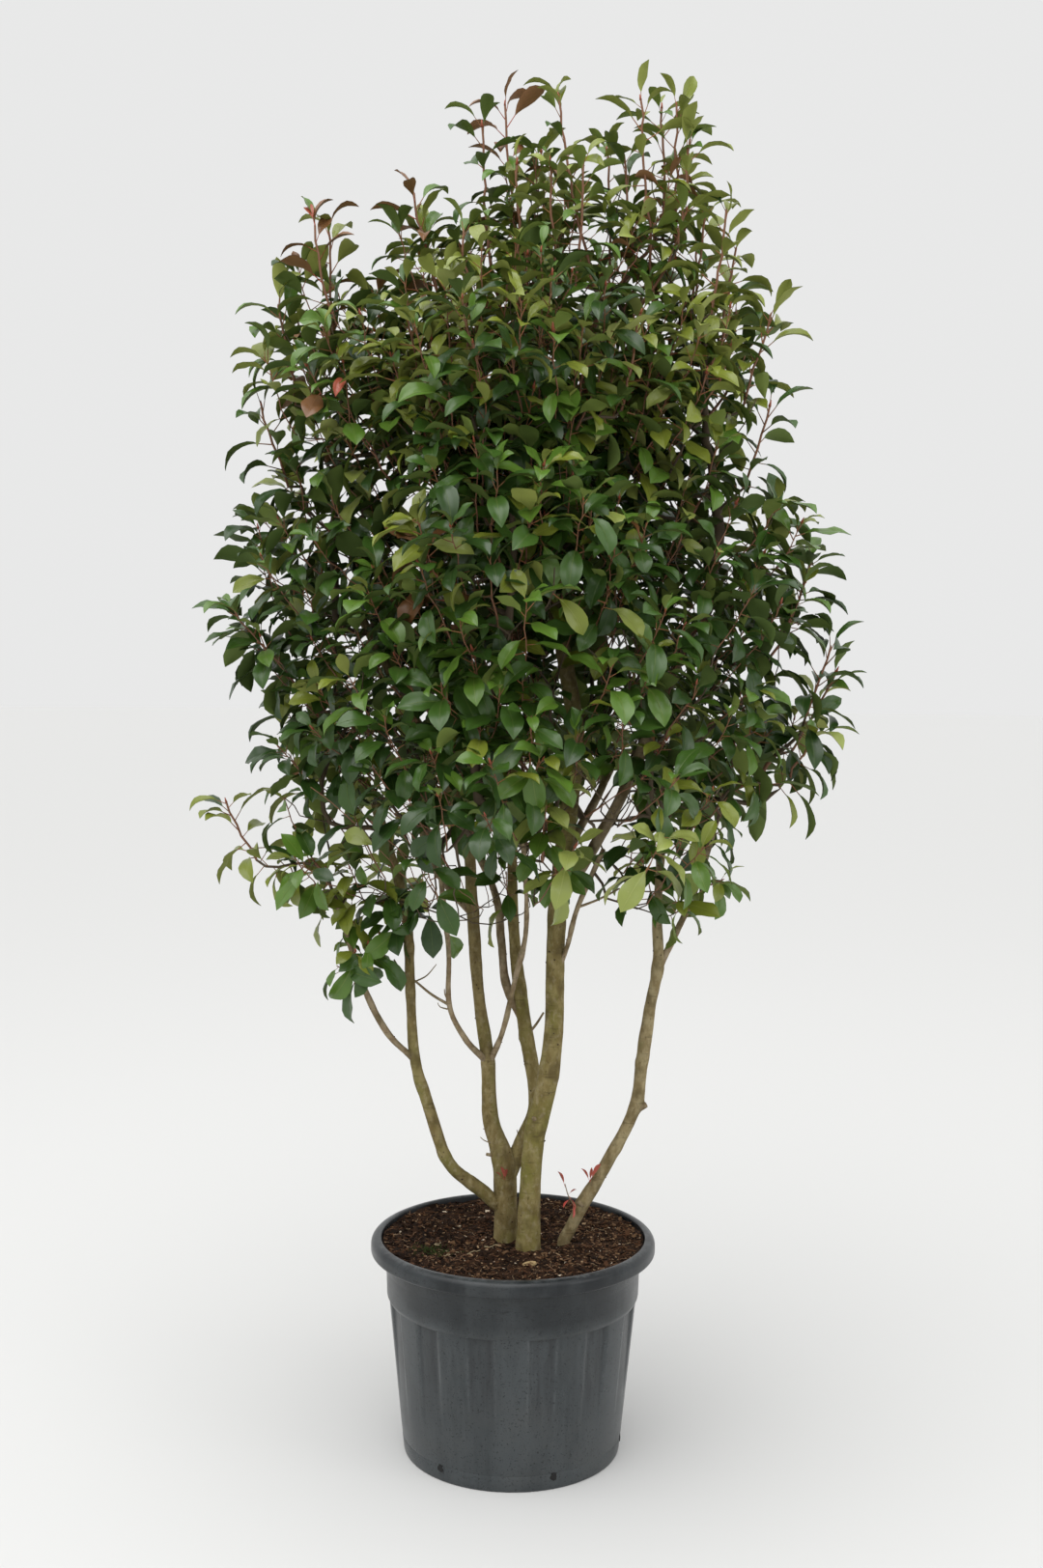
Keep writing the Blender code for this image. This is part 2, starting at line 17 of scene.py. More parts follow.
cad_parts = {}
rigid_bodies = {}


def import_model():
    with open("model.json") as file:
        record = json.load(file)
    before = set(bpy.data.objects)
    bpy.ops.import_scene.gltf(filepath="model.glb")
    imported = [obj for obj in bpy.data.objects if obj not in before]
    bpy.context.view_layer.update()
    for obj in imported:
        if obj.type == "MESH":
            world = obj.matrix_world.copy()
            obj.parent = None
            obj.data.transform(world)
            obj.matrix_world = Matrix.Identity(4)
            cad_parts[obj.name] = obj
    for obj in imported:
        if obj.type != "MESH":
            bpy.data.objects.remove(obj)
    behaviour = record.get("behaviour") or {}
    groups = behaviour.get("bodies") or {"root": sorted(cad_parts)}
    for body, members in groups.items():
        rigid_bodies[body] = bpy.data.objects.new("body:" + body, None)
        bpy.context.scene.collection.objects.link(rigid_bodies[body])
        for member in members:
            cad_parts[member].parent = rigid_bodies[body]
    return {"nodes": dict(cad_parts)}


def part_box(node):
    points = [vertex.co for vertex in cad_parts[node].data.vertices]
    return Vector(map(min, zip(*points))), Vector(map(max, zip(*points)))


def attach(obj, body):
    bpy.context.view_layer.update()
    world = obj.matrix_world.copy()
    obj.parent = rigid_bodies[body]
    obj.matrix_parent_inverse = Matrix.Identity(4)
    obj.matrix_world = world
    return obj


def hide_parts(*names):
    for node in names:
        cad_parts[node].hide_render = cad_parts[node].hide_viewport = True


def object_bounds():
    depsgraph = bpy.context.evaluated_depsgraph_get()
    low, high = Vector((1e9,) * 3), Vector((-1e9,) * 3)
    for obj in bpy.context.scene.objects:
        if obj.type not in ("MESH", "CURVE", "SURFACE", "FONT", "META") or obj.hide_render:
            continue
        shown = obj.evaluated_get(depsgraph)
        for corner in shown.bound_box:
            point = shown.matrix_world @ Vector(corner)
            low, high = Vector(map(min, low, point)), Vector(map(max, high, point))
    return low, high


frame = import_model()
CAD_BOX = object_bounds()
RANDOM = np.random.default_rng(41)

# Camera, as the photo was taken
CAMERA_PLACE = (0.0095, -3.6197, 1.6607)
CAMERA_DOWN = 3.945
CAMERA_ROLL = 0.496
CAMERA_LENS = 40.0
SENSOR_LONG_SIDE = 36.0

# Stage
FLOOR_COLOUR = (0.620, 0.620, 0.613)
FLOOR_RADIUS = 60.0
AIR_COLOUR = (0.81, 0.812, 0.81, 1.0)
ROOF_POWER = 1.65
ROOF_SPREAD = 85.0
ROOF_TILT = (18.0, -12.0, 0.0)

# The area lights: name, place, aim, width and power
AREA_LIGHTS = (
    ("overhead_light", (-0.8, -1.6, 5.6), (0.0, 0.0, 1.4), 4.4, 86.0),
    ("side_light", (4.2, -2.4, 3.2), (0.0, 0.0, 1.2), 2.4, 27.0),
)

# Pot
POT_HEIGHT = 0.456
POT_FOOT_RADIUS = 0.229
POT_TAPER = 0.0985
POT_WALL = 0.004
POT_FLOOR = 0.005
FOOT_RING_HEIGHT = 0.034
FOOT_RING_DEPTH = 0.0012
RIM_RADIUS = 0.300
RIM_OPENING_RADIUS = 0.278
RIM_DEPTH = 0.033
RIM_ROUNDING = 0.007
RIM_CURVE = 0.0155
BAND_RADIUS = 0.266
BAND_BOTTOM = 0.335
BAND_CHAMFER = 0.010
PANEL_COUNT = 13
PANEL_BOTTOM = 0.110
PANEL_RECESS = 0.0065
PANEL_HALF_WIDTH = 7.2
PANEL_SLOPE = 2.4
LEDGE = 0.0012
POT_SEGMENTS = 36 * PANEL_COUNT
DRAIN_COUNT = 6
DRAIN_RADIUS = 0.0075
DRAIN_HEIGHT = 0.028
DRAIN_FIRST_ANGLE = 22.0

# Compost
SOIL_TOP = 0.438
SOIL_RADIUS = 0.2755
SOIL_LEVEL_RADIUS = 0.15
SOIL_DISH = 0.012
SOIL_BUMP = 0.0055
SOIL_GRIT = 0.0030
CHIP_COUNT = 7000
CHIP_TILT = 0.35
FIBRE_COUNT = 500

# Stems and twigs
RING_STEP = 0.008
FOOT_FLARE = 0.16
FOOT_FLARE_HEIGHT = 0.03
BARK_LUMP = 0.0016
BARK_GRAIN = 0.0005
NODE_SWELL = 0.0011
NODE_STEP = 0.028
BARK_BUD_SHARE = 0.11
BARK_BUD_TOP = 1.5
# The heights over which the bark's painted shade in the crown grows
BARK_CROWN_SHADE_HEIGHTS = (1.35, 1.90)
SOIL_SINK = 0.012
LIMB_NEAR = 0.05
LIMB_OPEN_HEIGHT = 1.0
TWIG_ON_LIMB = 0.85
THICK_TWIG = 0.0034
POINT_RADIUS = 0.0002
NO_YOUNG_BARK = 1000
TIP_RADIUS = 0.0016
BRANCH_POWER = 0.46
SPIRE_WEIGHT = 4.2
TWIG_WOBBLE = 0.0022
TURN_COST = 0.75
FALL_COST = 0.9

# Crown
BOUGH_SPACING = 0.155
CROWN_MIDDLE = 0.02
CROWN_HALF_WIDTH = 0.62
CROWN_HALF_DEPTH = 0.50
CROWN_FOOT = 1.15
CROWN_TOP = 2.75
SHOOT_SPACINGS = (0.092, 0.088, 0.077, 0.070, 0.066)
INNER_SPREAD = 1.7
SHOOT_SETBACK = 0.040
SHOOT_OPEN = 0.62
SPRAY_OPEN = 0.5
SPIRE_OPEN = 0.3
WINDOW_MARGIN = 0.03
SHOOT_LENGTHS = (0.13, 0.20)
TOP_SHOOT_EXTRA = 0.06
CANDIDATES = 1500
CANDIDATE_ROOM = 0.10
SKIN_PROBE = 0.02
SKIN_REACH = 0.035
BOUGH_DEPTH = 0.07
BOUGH_FOOT = 0.05
CLEAR_UNDER = 1.17
CLEAR_FROM = 0.10
CLEAR_TO = 0.30
BARE_TWIG_COUNT = 34
BARE_TWIG_LENGTH = 0.11
BARE_TWIG_REACH = ((-0.42, -0.30, 1.22), (0.10, 0.30, 1.44))
WAIST_CENTRE = (0.02, 0.0)
WAIST_HALF_SIZES = (0.57, 0.46)
WAIST_HEIGHTS = (1.38, 1.78)
WAIST_REACH = 0.10

# Leaves and buds
SPIRE_LEAFY = 0.33
SPIRE_SPACING = 0.86
SPIRE_BLADE = 1.12
LEAF_THICKNESS = 0.006
RIB_LIFT = 0.005
RIB_TONE = 0.55
LEAF_TURN = math.radians(137.5)
LEAF_SWAY = 0.34
FIRST_LEAF = 0.004
OVERHANG = 0.022
OVERHANG_TOP = 0.012
OTHER_TINT_SHARE = 0.16
BRONZE_SHARE = 0.06
BRONZE_HEIGHT = 2.4
BUD_SHARE = 0.55
SHADED = 0.4

# From the crown's foot to its top: how far down its shoot a spray reaches, how far apart its
# leaves stand and how long their blades are
SPRAY_LENGTHS = (0.080, 0.110, 0.150, 0.200, 0.260)
LEAF_SPACINGS = (0.0130, 0.0165, 0.0195, 0.0235, 0.0250)
BLADE_LENGTHS = (0.080, 0.084, 0.088, 0.082, 0.070)

# From a spray's tip to its last leaf: the leaves' angle off the shoot, in degrees, and how
# close they stand on a shoot and on a spire
LEAF_ANGLES = (22, 44, 60, 70, 78)
SHOOT_CROWDING = (0.28, 0.62, 1.0, 1.1, 1.1)
SPIRE_CROWDING = (0.60, 1.0, 1.0, 1.0, 1.0)


# Shapes that more than one piece uses


def metres(values):
    """Millimetres, in rows of rows, as metres."""
    if isinstance(values, (list, tuple)):
        return [metres(value) for value in values]
    return values / 1000


def smooth_path(points, step):
    """Evenly spaced places on a smooth curve through the points, about one step apart."""
    knots = [Vector(point) for point in points]
    knots = [knots[0] * 2 - knots[1]] + knots + [knots[-1] * 2 - knots[-2]]
    fine = []
    parts = 16
    for index in range(1, len(knots) - 2):
        before, start, end, after = knots[index - 1: index + 3]
        for part in range(parts):
            t = part / parts
            fine.append(
                0.5 * (2 * start + (end - before) * t
                       + (2 * before - 5 * start + 4 * end - after) * t ** 2
                       + (3 * start - before - 3 * end + after) * t ** 3)
            )
    fine.append(knots[-2])
    lengths = [0.0]
    for start, end in zip(fine, fine[1:]):
        lengths.append(lengths[-1] + (end - start).length)
    count = max(3, round(lengths[-1] / step) + 1)
    path = []
    place = 0
    for index in range(count):
        target = lengths[-1] * index / (count - 1)
        while place < len(fine) - 2 and lengths[place + 1] < target:
            place += 1
        share = (target - lengths[place]) / (lengths[place + 1] - lengths[place])
        path.append(fine[place].lerp(fine[place + 1], share))
    return path


def share_of(values, share):
    """The value at a share of the way along a row of evenly spaced values."""
    spot = min(max(share, 0.0), 1.0) * (len(values) - 1)
    low = min(int(spot), len(values) - 2)
    return values[low] + (values[low + 1] - values[low]) * (spot - low)


def ring_frames(path):
    """A frame for each place on a path: two directions across it and one along it."""
    frames = []
    normal = Vector((0.0, -1.0, 0.05)).normalized()
    for index, place in enumerate(path):
        ahead = path[min(index + 1, len(path) - 1)]
        behind = path[max(index - 1, 0)]
        along = (ahead - behind).normalized()
        normal = normal - along * normal.dot(along)
        if normal.length < 0.05:
            normal = along.orthogonal()
        normal.normalize()
        frames.append((normal.copy(), along.cross(normal), along))
    return frames


def drawn_tube(bm, path, radii, sides, level_foot=False):
    """A round limb drawn ring by ring along its path, closed at both ends."""
    frames = ring_frames(path)

    def ring_matrix(index):
        across, beside, along = frames[index]
        radius = radii[index]
        matrix = Matrix.Identity(4)
        if level_foot and index == 0:
            across = across - along * (across.z / along.z)
            beside = beside - along * (beside.z / along.z)
        for row in range(3):
            matrix[row][0] = across[row] * radius
            matrix[row][1] = beside[row] * radius
            matrix[row][2] = along[row]
            matrix[row][3] = path[index][row]
        return matrix

    made = bmesh.ops.create_circle(bm, cap_ends=True, segments=sides, radius=1.0)["verts"]
    before = ring_matrix(0)
    bmesh.ops.transform(bm, matrix=before, verts=made)
    inner = set(made)
    edges = list({edge for vert in made for edge in vert.link_edges})
    everything = list(made)
    for index in range(1, len(path)):
        drawn = bmesh.ops.extrude_edge_only(bm, edges=edges)["geom"]
        verts = [item for item in drawn if isinstance(item, bmesh.types.BMVert)]
        now = ring_matrix(index)
        bmesh.ops.transform(bm, matrix=now @ before.inverted(), verts=verts)
        before = now
        inner = set(verts)
        edges = [
            item for item in drawn
            if isinstance(item, bmesh.types.BMEdge)
            and item.verts[0] in inner and item.verts[1] in inner
        ]
        everything += verts
    bmesh.ops.holes_fill(bm, edges=edges, sides=0)
    return everything


def faces_of(verts):
    return {face for vert in verts for face in vert.link_faces}


def mesh_object(name, bm, materials, smooth_angle=None):
    bmesh.ops.recalc_face_normals(bm, faces=bm.faces)
    mesh = bpy.data.meshes.new(name)
    bm.to_mesh(mesh)
    bm.free()
    return add_piece(name, mesh, materials, smooth_angle)


def add_piece(name, mesh, materials, smooth_angle=None):
    for material in materials:
        mesh.materials.append(material)
    if smooth_angle is not None:
        mesh.shade_smooth()
        mesh.set_sharp_from_angle(angle=math.radians(smooth_angle))
    piece = bpy.data.objects.new(name, mesh)
    bpy.context.scene.collection.objects.link(piece)
    return piece


def settle(piece, slot, *nodes):
    """Every piece rides on the one body and stands for its nodes if it has any; its slot is not used.
    """
    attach(piece, "root")
    if nodes:
        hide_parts(*nodes)


def outward(degrees):
    """The level direction at a turn from the front."""
    return Vector((math.sin(math.radians(degrees)), -math.cos(math.radians(degrees)), 0.0))


def joined_mesh(name, verts, faces, face_materials):
    """One mesh of triangles or quads from arrays."""
    mesh = bpy.data.meshes.new(name)
    count, corners = faces.shape
    mesh.vertices.add(len(verts))
    mesh.vertices.foreach_set("co", np.ascontiguousarray(verts, np.float32).ravel())
    mesh.loops.add(count * corners)
    mesh.loops.foreach_set("vertex_index", np.ascontiguousarray(faces, np.int32).ravel())
    mesh.polygons.add(count)
    mesh.polygons.foreach_set("loop_start", np.arange(count, dtype=np.int32) * corners)
    mesh.polygons.foreach_set("material_index", np.ascontiguousarray(face_materials, np.int32))
    mesh.update(calc_edges=True)
    mesh.shade_smooth()
    return mesh


def pattern_arrays(bm):
    """The places, triangles and face kinds of a small pattern shape."""
    bmesh.ops.triangulate(bm, faces=bm.faces)
    bm.verts.ensure_lookup_table()
    bm.verts.index_update()
    verts = np.array([vert.co[:] for vert in bm.verts])
    faces = np.array([[vert.index for vert in face.verts] for face in bm.faces])
    kinds = np.array([face.material_index for face in bm.faces])
    bm.free()
    return verts, faces, kinds


def dealt_mesh(name, patterns, which, places, turns, sizes, tints, kinds_per_tint):
    """Copies of the patterns, each turned, sized and placed, as one joined mesh."""
    all_verts, all_faces, all_materials = [], [], []
    offset = 0
    for number, (verts, faces, kinds) in enumerate(patterns):
        chosen = np.nonzero(which == number)[0]
        if len(chosen) == 0:
            continue
        shaped = np.einsum("kij,nj->kni", turns[chosen], verts) * sizes[chosen][:, None, None]
        shaped += places[chosen][:, None, :]
        starts = offset + np.arange(len(chosen)) * len(verts)
        all_verts.append(shaped.reshape(-1, 3))
        all_faces.append((faces[None] + starts[:, None, None]).reshape(-1, 3))
        materials = tints[chosen][:, None] * kinds_per_tint + kinds[None]
        all_materials.append(materials.ravel())
        offset += len(chosen) * len(verts)
    return joined_mesh(
        name, np.concatenate(all_verts), np.concatenate(all_faces), np.concatenate(all_materials)
    )


def add_copies(name, pattern, places, turns, sizes, tint, kinds_per_tint, finishes, slot):
    """Copies of one pattern in one tint, as one piece on no node of its own."""
    count = len(places)
    mesh = dealt_mesh(name, [pattern], np.zeros(count, int), np.array(places), np.array(turns),
                      np.array(sizes), np.full(count, tint), kinds_per_tint)
    settle(add_piece(name, mesh, finishes), slot)


# Finishes


def new_group(name, inputs, outputs):
    group = bpy.data.node_groups.new(name, "ShaderNodeTree")
    for label, kind, value in inputs:
        socket = group.interface.new_socket(name=label, in_out="INPUT", socket_type=kind)
        socket.default_value = value
    for label, kind in outputs:
        group.interface.new_socket(name=label, in_out="OUTPUT", socket_type=kind)
    start = group.nodes.new("NodeGroupInput")
    end = group.nodes.new("NodeGroupOutput")
    return group, start, end


def noise_node(tree, vector, scale, detail, roughness=0.55):
    node = tree.nodes.new("ShaderNodeTexNoise")
    node.inputs["Scale"].default_value = scale
    node.inputs["Detail"].default_value = detail
    node.inputs["Roughness"].default_value = roughness
    tree.links.new(vector, node.inputs["Vector"])
    return node


def range_node(tree, value, low, high, to_low=0.0, to_high=1.0):
    node = tree.nodes.new("ShaderNodeMapRange")
    node.inputs["From Min"].default_value = low
    node.inputs["From Max"].default_value = high
    node.inputs["To Min"].default_value = to_low
    node.inputs["To Max"].default_value = to_high
    tree.links.new(value, node.inputs["Value"])
    return node.outputs["Result"]


def mix_colours(tree, factor, first, second):
    """Mixes two colours, each a socket or a plain colour, by a factor socket."""
    node = tree.nodes.new("ShaderNodeMix")
    node.data_type = "RGBA"
    tree.links.new(factor, node.inputs["Factor"])
    for label, colour in (("A", first), ("B", second)):
        socket = [item for item in node.inputs if item.name == label and item.type == "RGBA"][0]
        if isinstance(colour, bpy.types.NodeSocket):
            tree.links.new(colour, socket)
        else:
            socket.default_value = (*colour, 1.0)
    return [item for item in node.outputs if item.type == "RGBA"][0]


def stretched(tree, vector, scale):
    node = tree.nodes.new("ShaderNodeMapping")
    node.inputs["Scale"].default_value = scale
    tree.links.new(vector, node.inputs["Vector"])
    return node.outputs["Vector"]


def make_mottle_group():
    """Soft patches of a second colour and small dark specks, on any surface."""
    group, start, end = new_group(
        "mottle",
        [("Vector", "NodeSocketVector", (0, 0, 0)), ("Colour", "NodeSocketColor", (1, 1, 1, 1)),
         ("Patch Colour", "NodeSocketColor", (1, 1, 1, 1)),
         ("Speck Colour", "NodeSocketColor", (0, 0, 0, 1)),
         ("Patch Scale", "NodeSocketFloat", 5.0), ("Speck Scale", "NodeSocketFloat", 60.0),
         ("Specks", "NodeSocketFloat", 0.5)],
        [("Colour", "NodeSocketColor"), ("Height", "NodeSocketFloat")],
    )
    patch = noise_node(group, start.outputs["Vector"], 5.0, 4.0)
    group.links.new(start.outputs["Patch Scale"], patch.inputs["Scale"])
    patches = range_node(group, patch.outputs["Fac"], 0.40, 0.62)
    toned = mix_colours(group, patches, start.outputs["Colour"], start.outputs["Patch Colour"])
    speck = noise_node(group, start.outputs["Vector"], 60.0, 3.0, 0.6)
    group.links.new(start.outputs["Speck Scale"], speck.inputs["Scale"])
    specks = range_node(group, speck.outputs["Fac"], 0.60, 0.72)
    weight = multiplied(group, specks, start.outputs["Specks"])
    spotted = mix_colours(group, weight, toned, start.outputs["Speck Colour"])
    group.links.new(spotted, end.inputs["Colour"])
    group.links.new(speck.outputs["Fac"], end.inputs["Height"])
    return group


def new_finish(name, colour, roughness):
    material = bpy.data.materials.new(name)
    material.use_nodes = True
    shader = material.node_tree.nodes["Principled BSDF"]
    shader.inputs["Base Color"].default_value = (*colour, 1.0)
    shader.inputs["Roughness"].default_value = roughness
    material.diffuse_color = (*colour, 1.0)
    return material, material.node_tree, shader


def object_vector(tree):
    return tree.nodes.new("ShaderNodeTexCoord").outputs["Object"]


def placed_mottle(tree, group, vector, colours, scales, specks):
    node = tree.nodes.new("ShaderNodeGroup")
    node.node_tree = group
    tree.links.new(vector, node.inputs["Vector"])
    for label, colour in zip(("Colour", "Patch Colour", "Speck Colour"), colours):
        node.inputs[label].default_value = (*colour, 1.0)
    node.inputs["Patch Scale"].default_value = scales[0]
    node.inputs["Speck Scale"].default_value = scales[1]
    node.inputs["Specks"].default_value = specks
    return node


def add_bump(tree, shader, height, strength, distance):
    bump = tree.nodes.new("ShaderNodeBump")
    bump.inputs["Strength"].default_value = strength
    bump.inputs["Distance"].default_value = distance
    tree.links.new(height, bump.inputs["Height"])
    tree.links.new(bump.outputs["Normal"], shader.inputs["Normal"])


def multiplied(tree, first, second):
    node = tree.nodes.new("ShaderNodeMath")
    node.operation = "MULTIPLY"
    tree.links.new(first, node.inputs[0])
    tree.links.new(second, node.inputs[1])
    return node.outputs["Value"]


def split_axes(tree, vector):
    node = tree.nodes.new("ShaderNodeSeparateXYZ")
    tree.links.new(vector, node.inputs["Vector"])
    return node.outputs


def noise_mask(tree, vector, stretch, noise_look, span, amounts):
    """A mask from a noise: its stretch, its scale, detail and roughness, the span of it that
    counts, and the amounts at the two ends of that span."""
    node = noise_node(tree, stretched(tree, vector, stretch), *noise_look)
    return range_node(tree, node.outputs["Fac"], *span, *amounts)


def add_layer(tree, vector, below, stretch, noise_look, span, most, colour, within=None):
    """A colour laid over the one below where a noise is high, and only inside a mask if given."""
    mask = noise_mask(tree, vector, stretch, noise_look, span, (0.0, most))
    if within is not None:
        mask = multiplied(tree, mask, within)
    return mix_colours(tree, mask, below, colour)


BARK_LICHEN = (0.290, 0.245, 0.140)
BARK_SHADE = (0.094, 0.070, 0.030)
# The colour of the bark's painted shade in the crown
BARK_CROWN_SHADE = (0.085, 0.062, 0.038)


def bark_finish(name, group, colours, moss, moss_share):
    """Smooth bark: two browns in small soft spots, an olive film in patches, pale and dark
    spots, painted shade that makes it darker and browner in the crown, and a few faint ring lines."""
    material, tree, shader = new_finish(name, colours[0], 0.75)
    shader.inputs["Specular IOR Level"].default_value = 0.10
    vector = object_vector(tree)
    grain = (1.0, 1.0, 0.55)
    mottle = placed_mottle(
        tree, group, stretched(tree, vector, grain), colours, (62.0, 190.0), 0.60
    )
    film_span = (0.58 - moss_share, 0.78 - moss_share)
    colour = mottle.outputs["Colour"]
    for layer in (
        (grain, (15.0, 5.0, 0.65), film_span, 0.85, moss),
        ((1.0, 1.0, 0.8), (95.0, 3.0, 0.5), (0.54, 0.66), 0.60, BARK_LICHEN),
        ((1.0, 1.0, 0.7), (33.0, 4.0, 0.6), (0.48, 0.66), 0.68, BARK_SHADE),
    ):
        colour = add_layer(tree, vector, colour, *layer)
    # Painted shade: the bark darker and browner up in the crown, under the leaves
    crown_shade = range_node(tree, split_axes(tree, vector)["Z"], *BARK_CROWN_SHADE_HEIGHTS, 0.0, 0.60)
    colour = mix_colours(tree, crown_shade, colour, BARK_CROWN_SHADE)
    ring_lines = ((22.0, 22.0, 230.0), (1.0, 3.0, 0.6), (0.60, 0.70), 0.42, colours[2])
    colour = add_layer(tree, vector, colour, *ring_lines)
    tree.links.new(colour, shader.inputs["Base Color"])
    add_bump(tree, shader, mottle.outputs["Height"], 0.5, 0.0015)
    return material


POT_MOTTLE = ((0.026, 0.031, 0.033), (0.046, 0.053, 0.056), (0.008, 0.010, 0.011))
POT_STREAK = (0.058, 0.066, 0.070)
POT_DUST = (0.074, 0.074, 0.070)
# The pale of the worn panel edges with their painted highlight, the painted shade of the panels and of
# the band and rim, and the painted highlight of the rim's top
POT_EDGE_WEAR_AND_HIGHLIGHT = (0.150, 0.160, 0.165)
POT_SUNK_SHADE = (0.022, 0.024, 0.026)
POT_BAND_AND_RIM_SHADE = (0.006, 0.008, 0.010)
POT_RIM_HIGHLIGHT = (0.170, 0.180, 0.185)
POT_SPECK = (0.006, 0.007, 0.008)
POT_SCUFF = (0.007, 0.008, 0.009)


def pot_finish(name, group):
    """Moulded dark grey plastic, satin: upright streaks on the wall, a little dust, worn pale along
    the panels' edges with a painted highlight there, a painted highlight along the rim's top,
    and painted shade in the panels, on the band and on the rim."""
    material, tree, shader = new_finish(name, (0.040, 0.045, 0.048), 0.40)
    shader.inputs["Specular IOR Level"].default_value = 0.36
    vector = object_vector(tree)
    axes = split_axes(tree, vector)

    def by_height(low, high, to_low, to_high):
        return range_node(tree, axes["Z"], low, high, to_low, to_high)

    run = stretched(tree, vector, (1.0, 1.0, 0.30))
    mottle = placed_mottle(tree, group, run, POT_MOTTLE, (14.0, 150.0), 0.60)
    grain = noise_node(tree, stretched(tree, vector, (1.0, 1.0, 0.05)), 120.0, 4.0, 0.6)
    streaks = range_node(tree, grain.outputs["Fac"], 0.36, 0.70, 0.25, 0.60)
    streaks = multiplied(tree, streaks, by_height(0.300, 0.340, 1.0, 0.10))
    colour = mix_colours(tree, streaks, mottle.outputs["Colour"], POT_STREAK)

    dust = noise_node(tree, stretched(tree, vector, (1.0, 1.0, 1.4)), 7.0, 7.0, 0.7)
    dusty = range_node(tree, dust.outputs["Fac"], 0.46, 0.70, 0.0, 0.30)
    colour = mix_colours(tree, dusty, colour, POT_DUST)

    # The panels' edges worn pale, with a painted highlight there; the same noise breaks up the painted
    # highlight on the rim's top
    rub_and_highlight = noise_mask(
        tree, vector, (1.0, 1.0, 0.4), (30.0, 8.0, 0.80), (0.47, 0.72), (0.0, 0.46)
    )
    edge_wear_and_highlight = multiplied(tree, rub_and_highlight, pot_edge_mask(tree, axes))
    colour = mix_colours(tree, edge_wear_and_highlight, colour, POT_EDGE_WEAR_AND_HIGHLIGHT)

    # Painted shade: the sunk panels darker, in soft streaks
    sunk = range_node(tree, grain.outputs["Fac"], 0.40, 0.62, 0.10, 0.75)
    sunk = multiplied(tree, sunk, pot_panel_shade_mask(tree, axes))
    colour = mix_colours(tree, sunk, colour, POT_SUNK_SHADE)

    # Painted shade: the band darker and the rim darker still, in soft patches
    band_and_rim_shade = noise_mask(
        tree, vector, (1.0, 1.0, 0.6), (9.0, 5.0, 0.6), (0.42, 0.58), (0.45, 0.95)
    )
    band_and_rim_shade = multiplied(tree, band_and_rim_shade, by_height(0.417, 0.425, 0.62, 1.0))
    band_and_rim_shade = multiplied(tree, band_and_rim_shade, by_height(BAND_BOTTOM, BAND_BOTTOM + 0.02, 0.0, 1.0))
    colour = mix_colours(tree, band_and_rim_shade, colour, POT_BAND_AND_RIM_SHADE)

    # Painted highlight: the rim's top edge paler
    rim_highlight = multiplied(tree, rub_and_highlight, by_height(POT_HEIGHT - 0.004, POT_HEIGHT - 0.001, 0.0, 1.0))
    colour = mix_colours(tree, rim_highlight, colour, POT_RIM_HIGHLIGHT)
    specks = ((1.0, 1.0, 1.0), (240.0, 2.0, 0.5), (0.61, 0.68), 0.70, POT_SPECK)
    colour = add_layer(tree, vector, colour, *specks)
    scuffs = ((1.0, 1.0, 3.2), (40.0, 4.0, 0.6), (0.60, 0.70), 0.65, POT_SCUFF)
    on_band = by_height(0.345, 0.365, 0.10, 1.0)
    colour = add_layer(tree, vector, colour, *scuffs, within=on_band)
    tree.links.new(colour, shader.inputs["Base Color"])
    gloss = range_node(tree, dust.outputs["Fac"], 0.35, 0.75, 0.26, 0.44)
    tree.links.new(gloss, shader.inputs["Roughness"])
    add_bump(tree, shader, grain.outputs["Fac"], 0.12, 0.0008)
    return material


def pot_panel_wave(tree, axes):
    """How far round a place lies from the middle of the nearest sunk panel, in pitches."""
    around = tree.nodes.new("ShaderNodeMath")
    around.operation = "ARCTAN2"
    tree.links.new(axes["X"], around.inputs[0])
    tree.links.new(axes["Y"], around.inputs[1])
    turns = range_node(tree, around.outputs["Value"], 0.0, math.tau / PANEL_COUNT, 0.0, 1.0)
    turns.node.clamp = False
    wave = tree.nodes.new("ShaderNodeMath")
    wave.operation = "PINGPONG"
    wave.inputs[1].default_value = 0.5
    tree.links.new(turns, wave.inputs[0])
    return wave.outputs["Value"]


def pot_wall_mask(tree, axes):
    on_wall = range_node(tree, axes["Z"], 0.10, 0.22, 0.0, 1.0)
    under_band = range_node(tree, axes["Z"], 0.322, 0.328, 1.0, 0.0)
    return multiplied(tree, on_wall, under_band)


def pot_edge_mask(tree, axes):
    """The edges beside the sunk panels, worn pale, with a painted highlight there."""
    wave = pot_panel_wave(tree, axes)
    ridge = range_node(tree, wave, 0.205, 0.232, 0.0, 1.0)
    far_side = range_node(tree, wave, 0.238, 0.264, 1.0, 0.0)
    return multiplied(tree, multiplied(tree, ridge, far_side), pot_wall_mask(tree, axes))


def pot_panel_shade_mask(tree, axes):
    """The sunk panels themselves, where shade is painted."""
    sunk = range_node(tree, pot_panel_wave(tree, axes), 0.185, 0.225, 1.0, 0.0)
    return multiplied(tree, sunk, pot_wall_mask(tree, axes))


def soil_finish(name, group):
    material, tree, shader = new_finish(name, (0.030, 0.018, 0.012), 0.95)
    shader.inputs["Specular IOR Level"].default_value = 0.1
    mottle = placed_mottle(
        tree, group, object_vector(tree),
        ((0.010, 0.005, 0.003), (0.036, 0.018, 0.010), (0.110, 0.064, 0.034)), (45.0, 260.0), 0.7,
    )
    tree.links.new(mottle.outputs["Colour"], shader.inputs["Base Color"])
    add_bump(tree, shader, mottle.outputs["Height"], 0.9, 0.004)
    return material


def plain_finish(name, colour, roughness, shine=0.5):
    material, _, shader = new_finish(name, colour, roughness)
    shader.inputs["Specular IOR Level"].default_value = shine
    return material


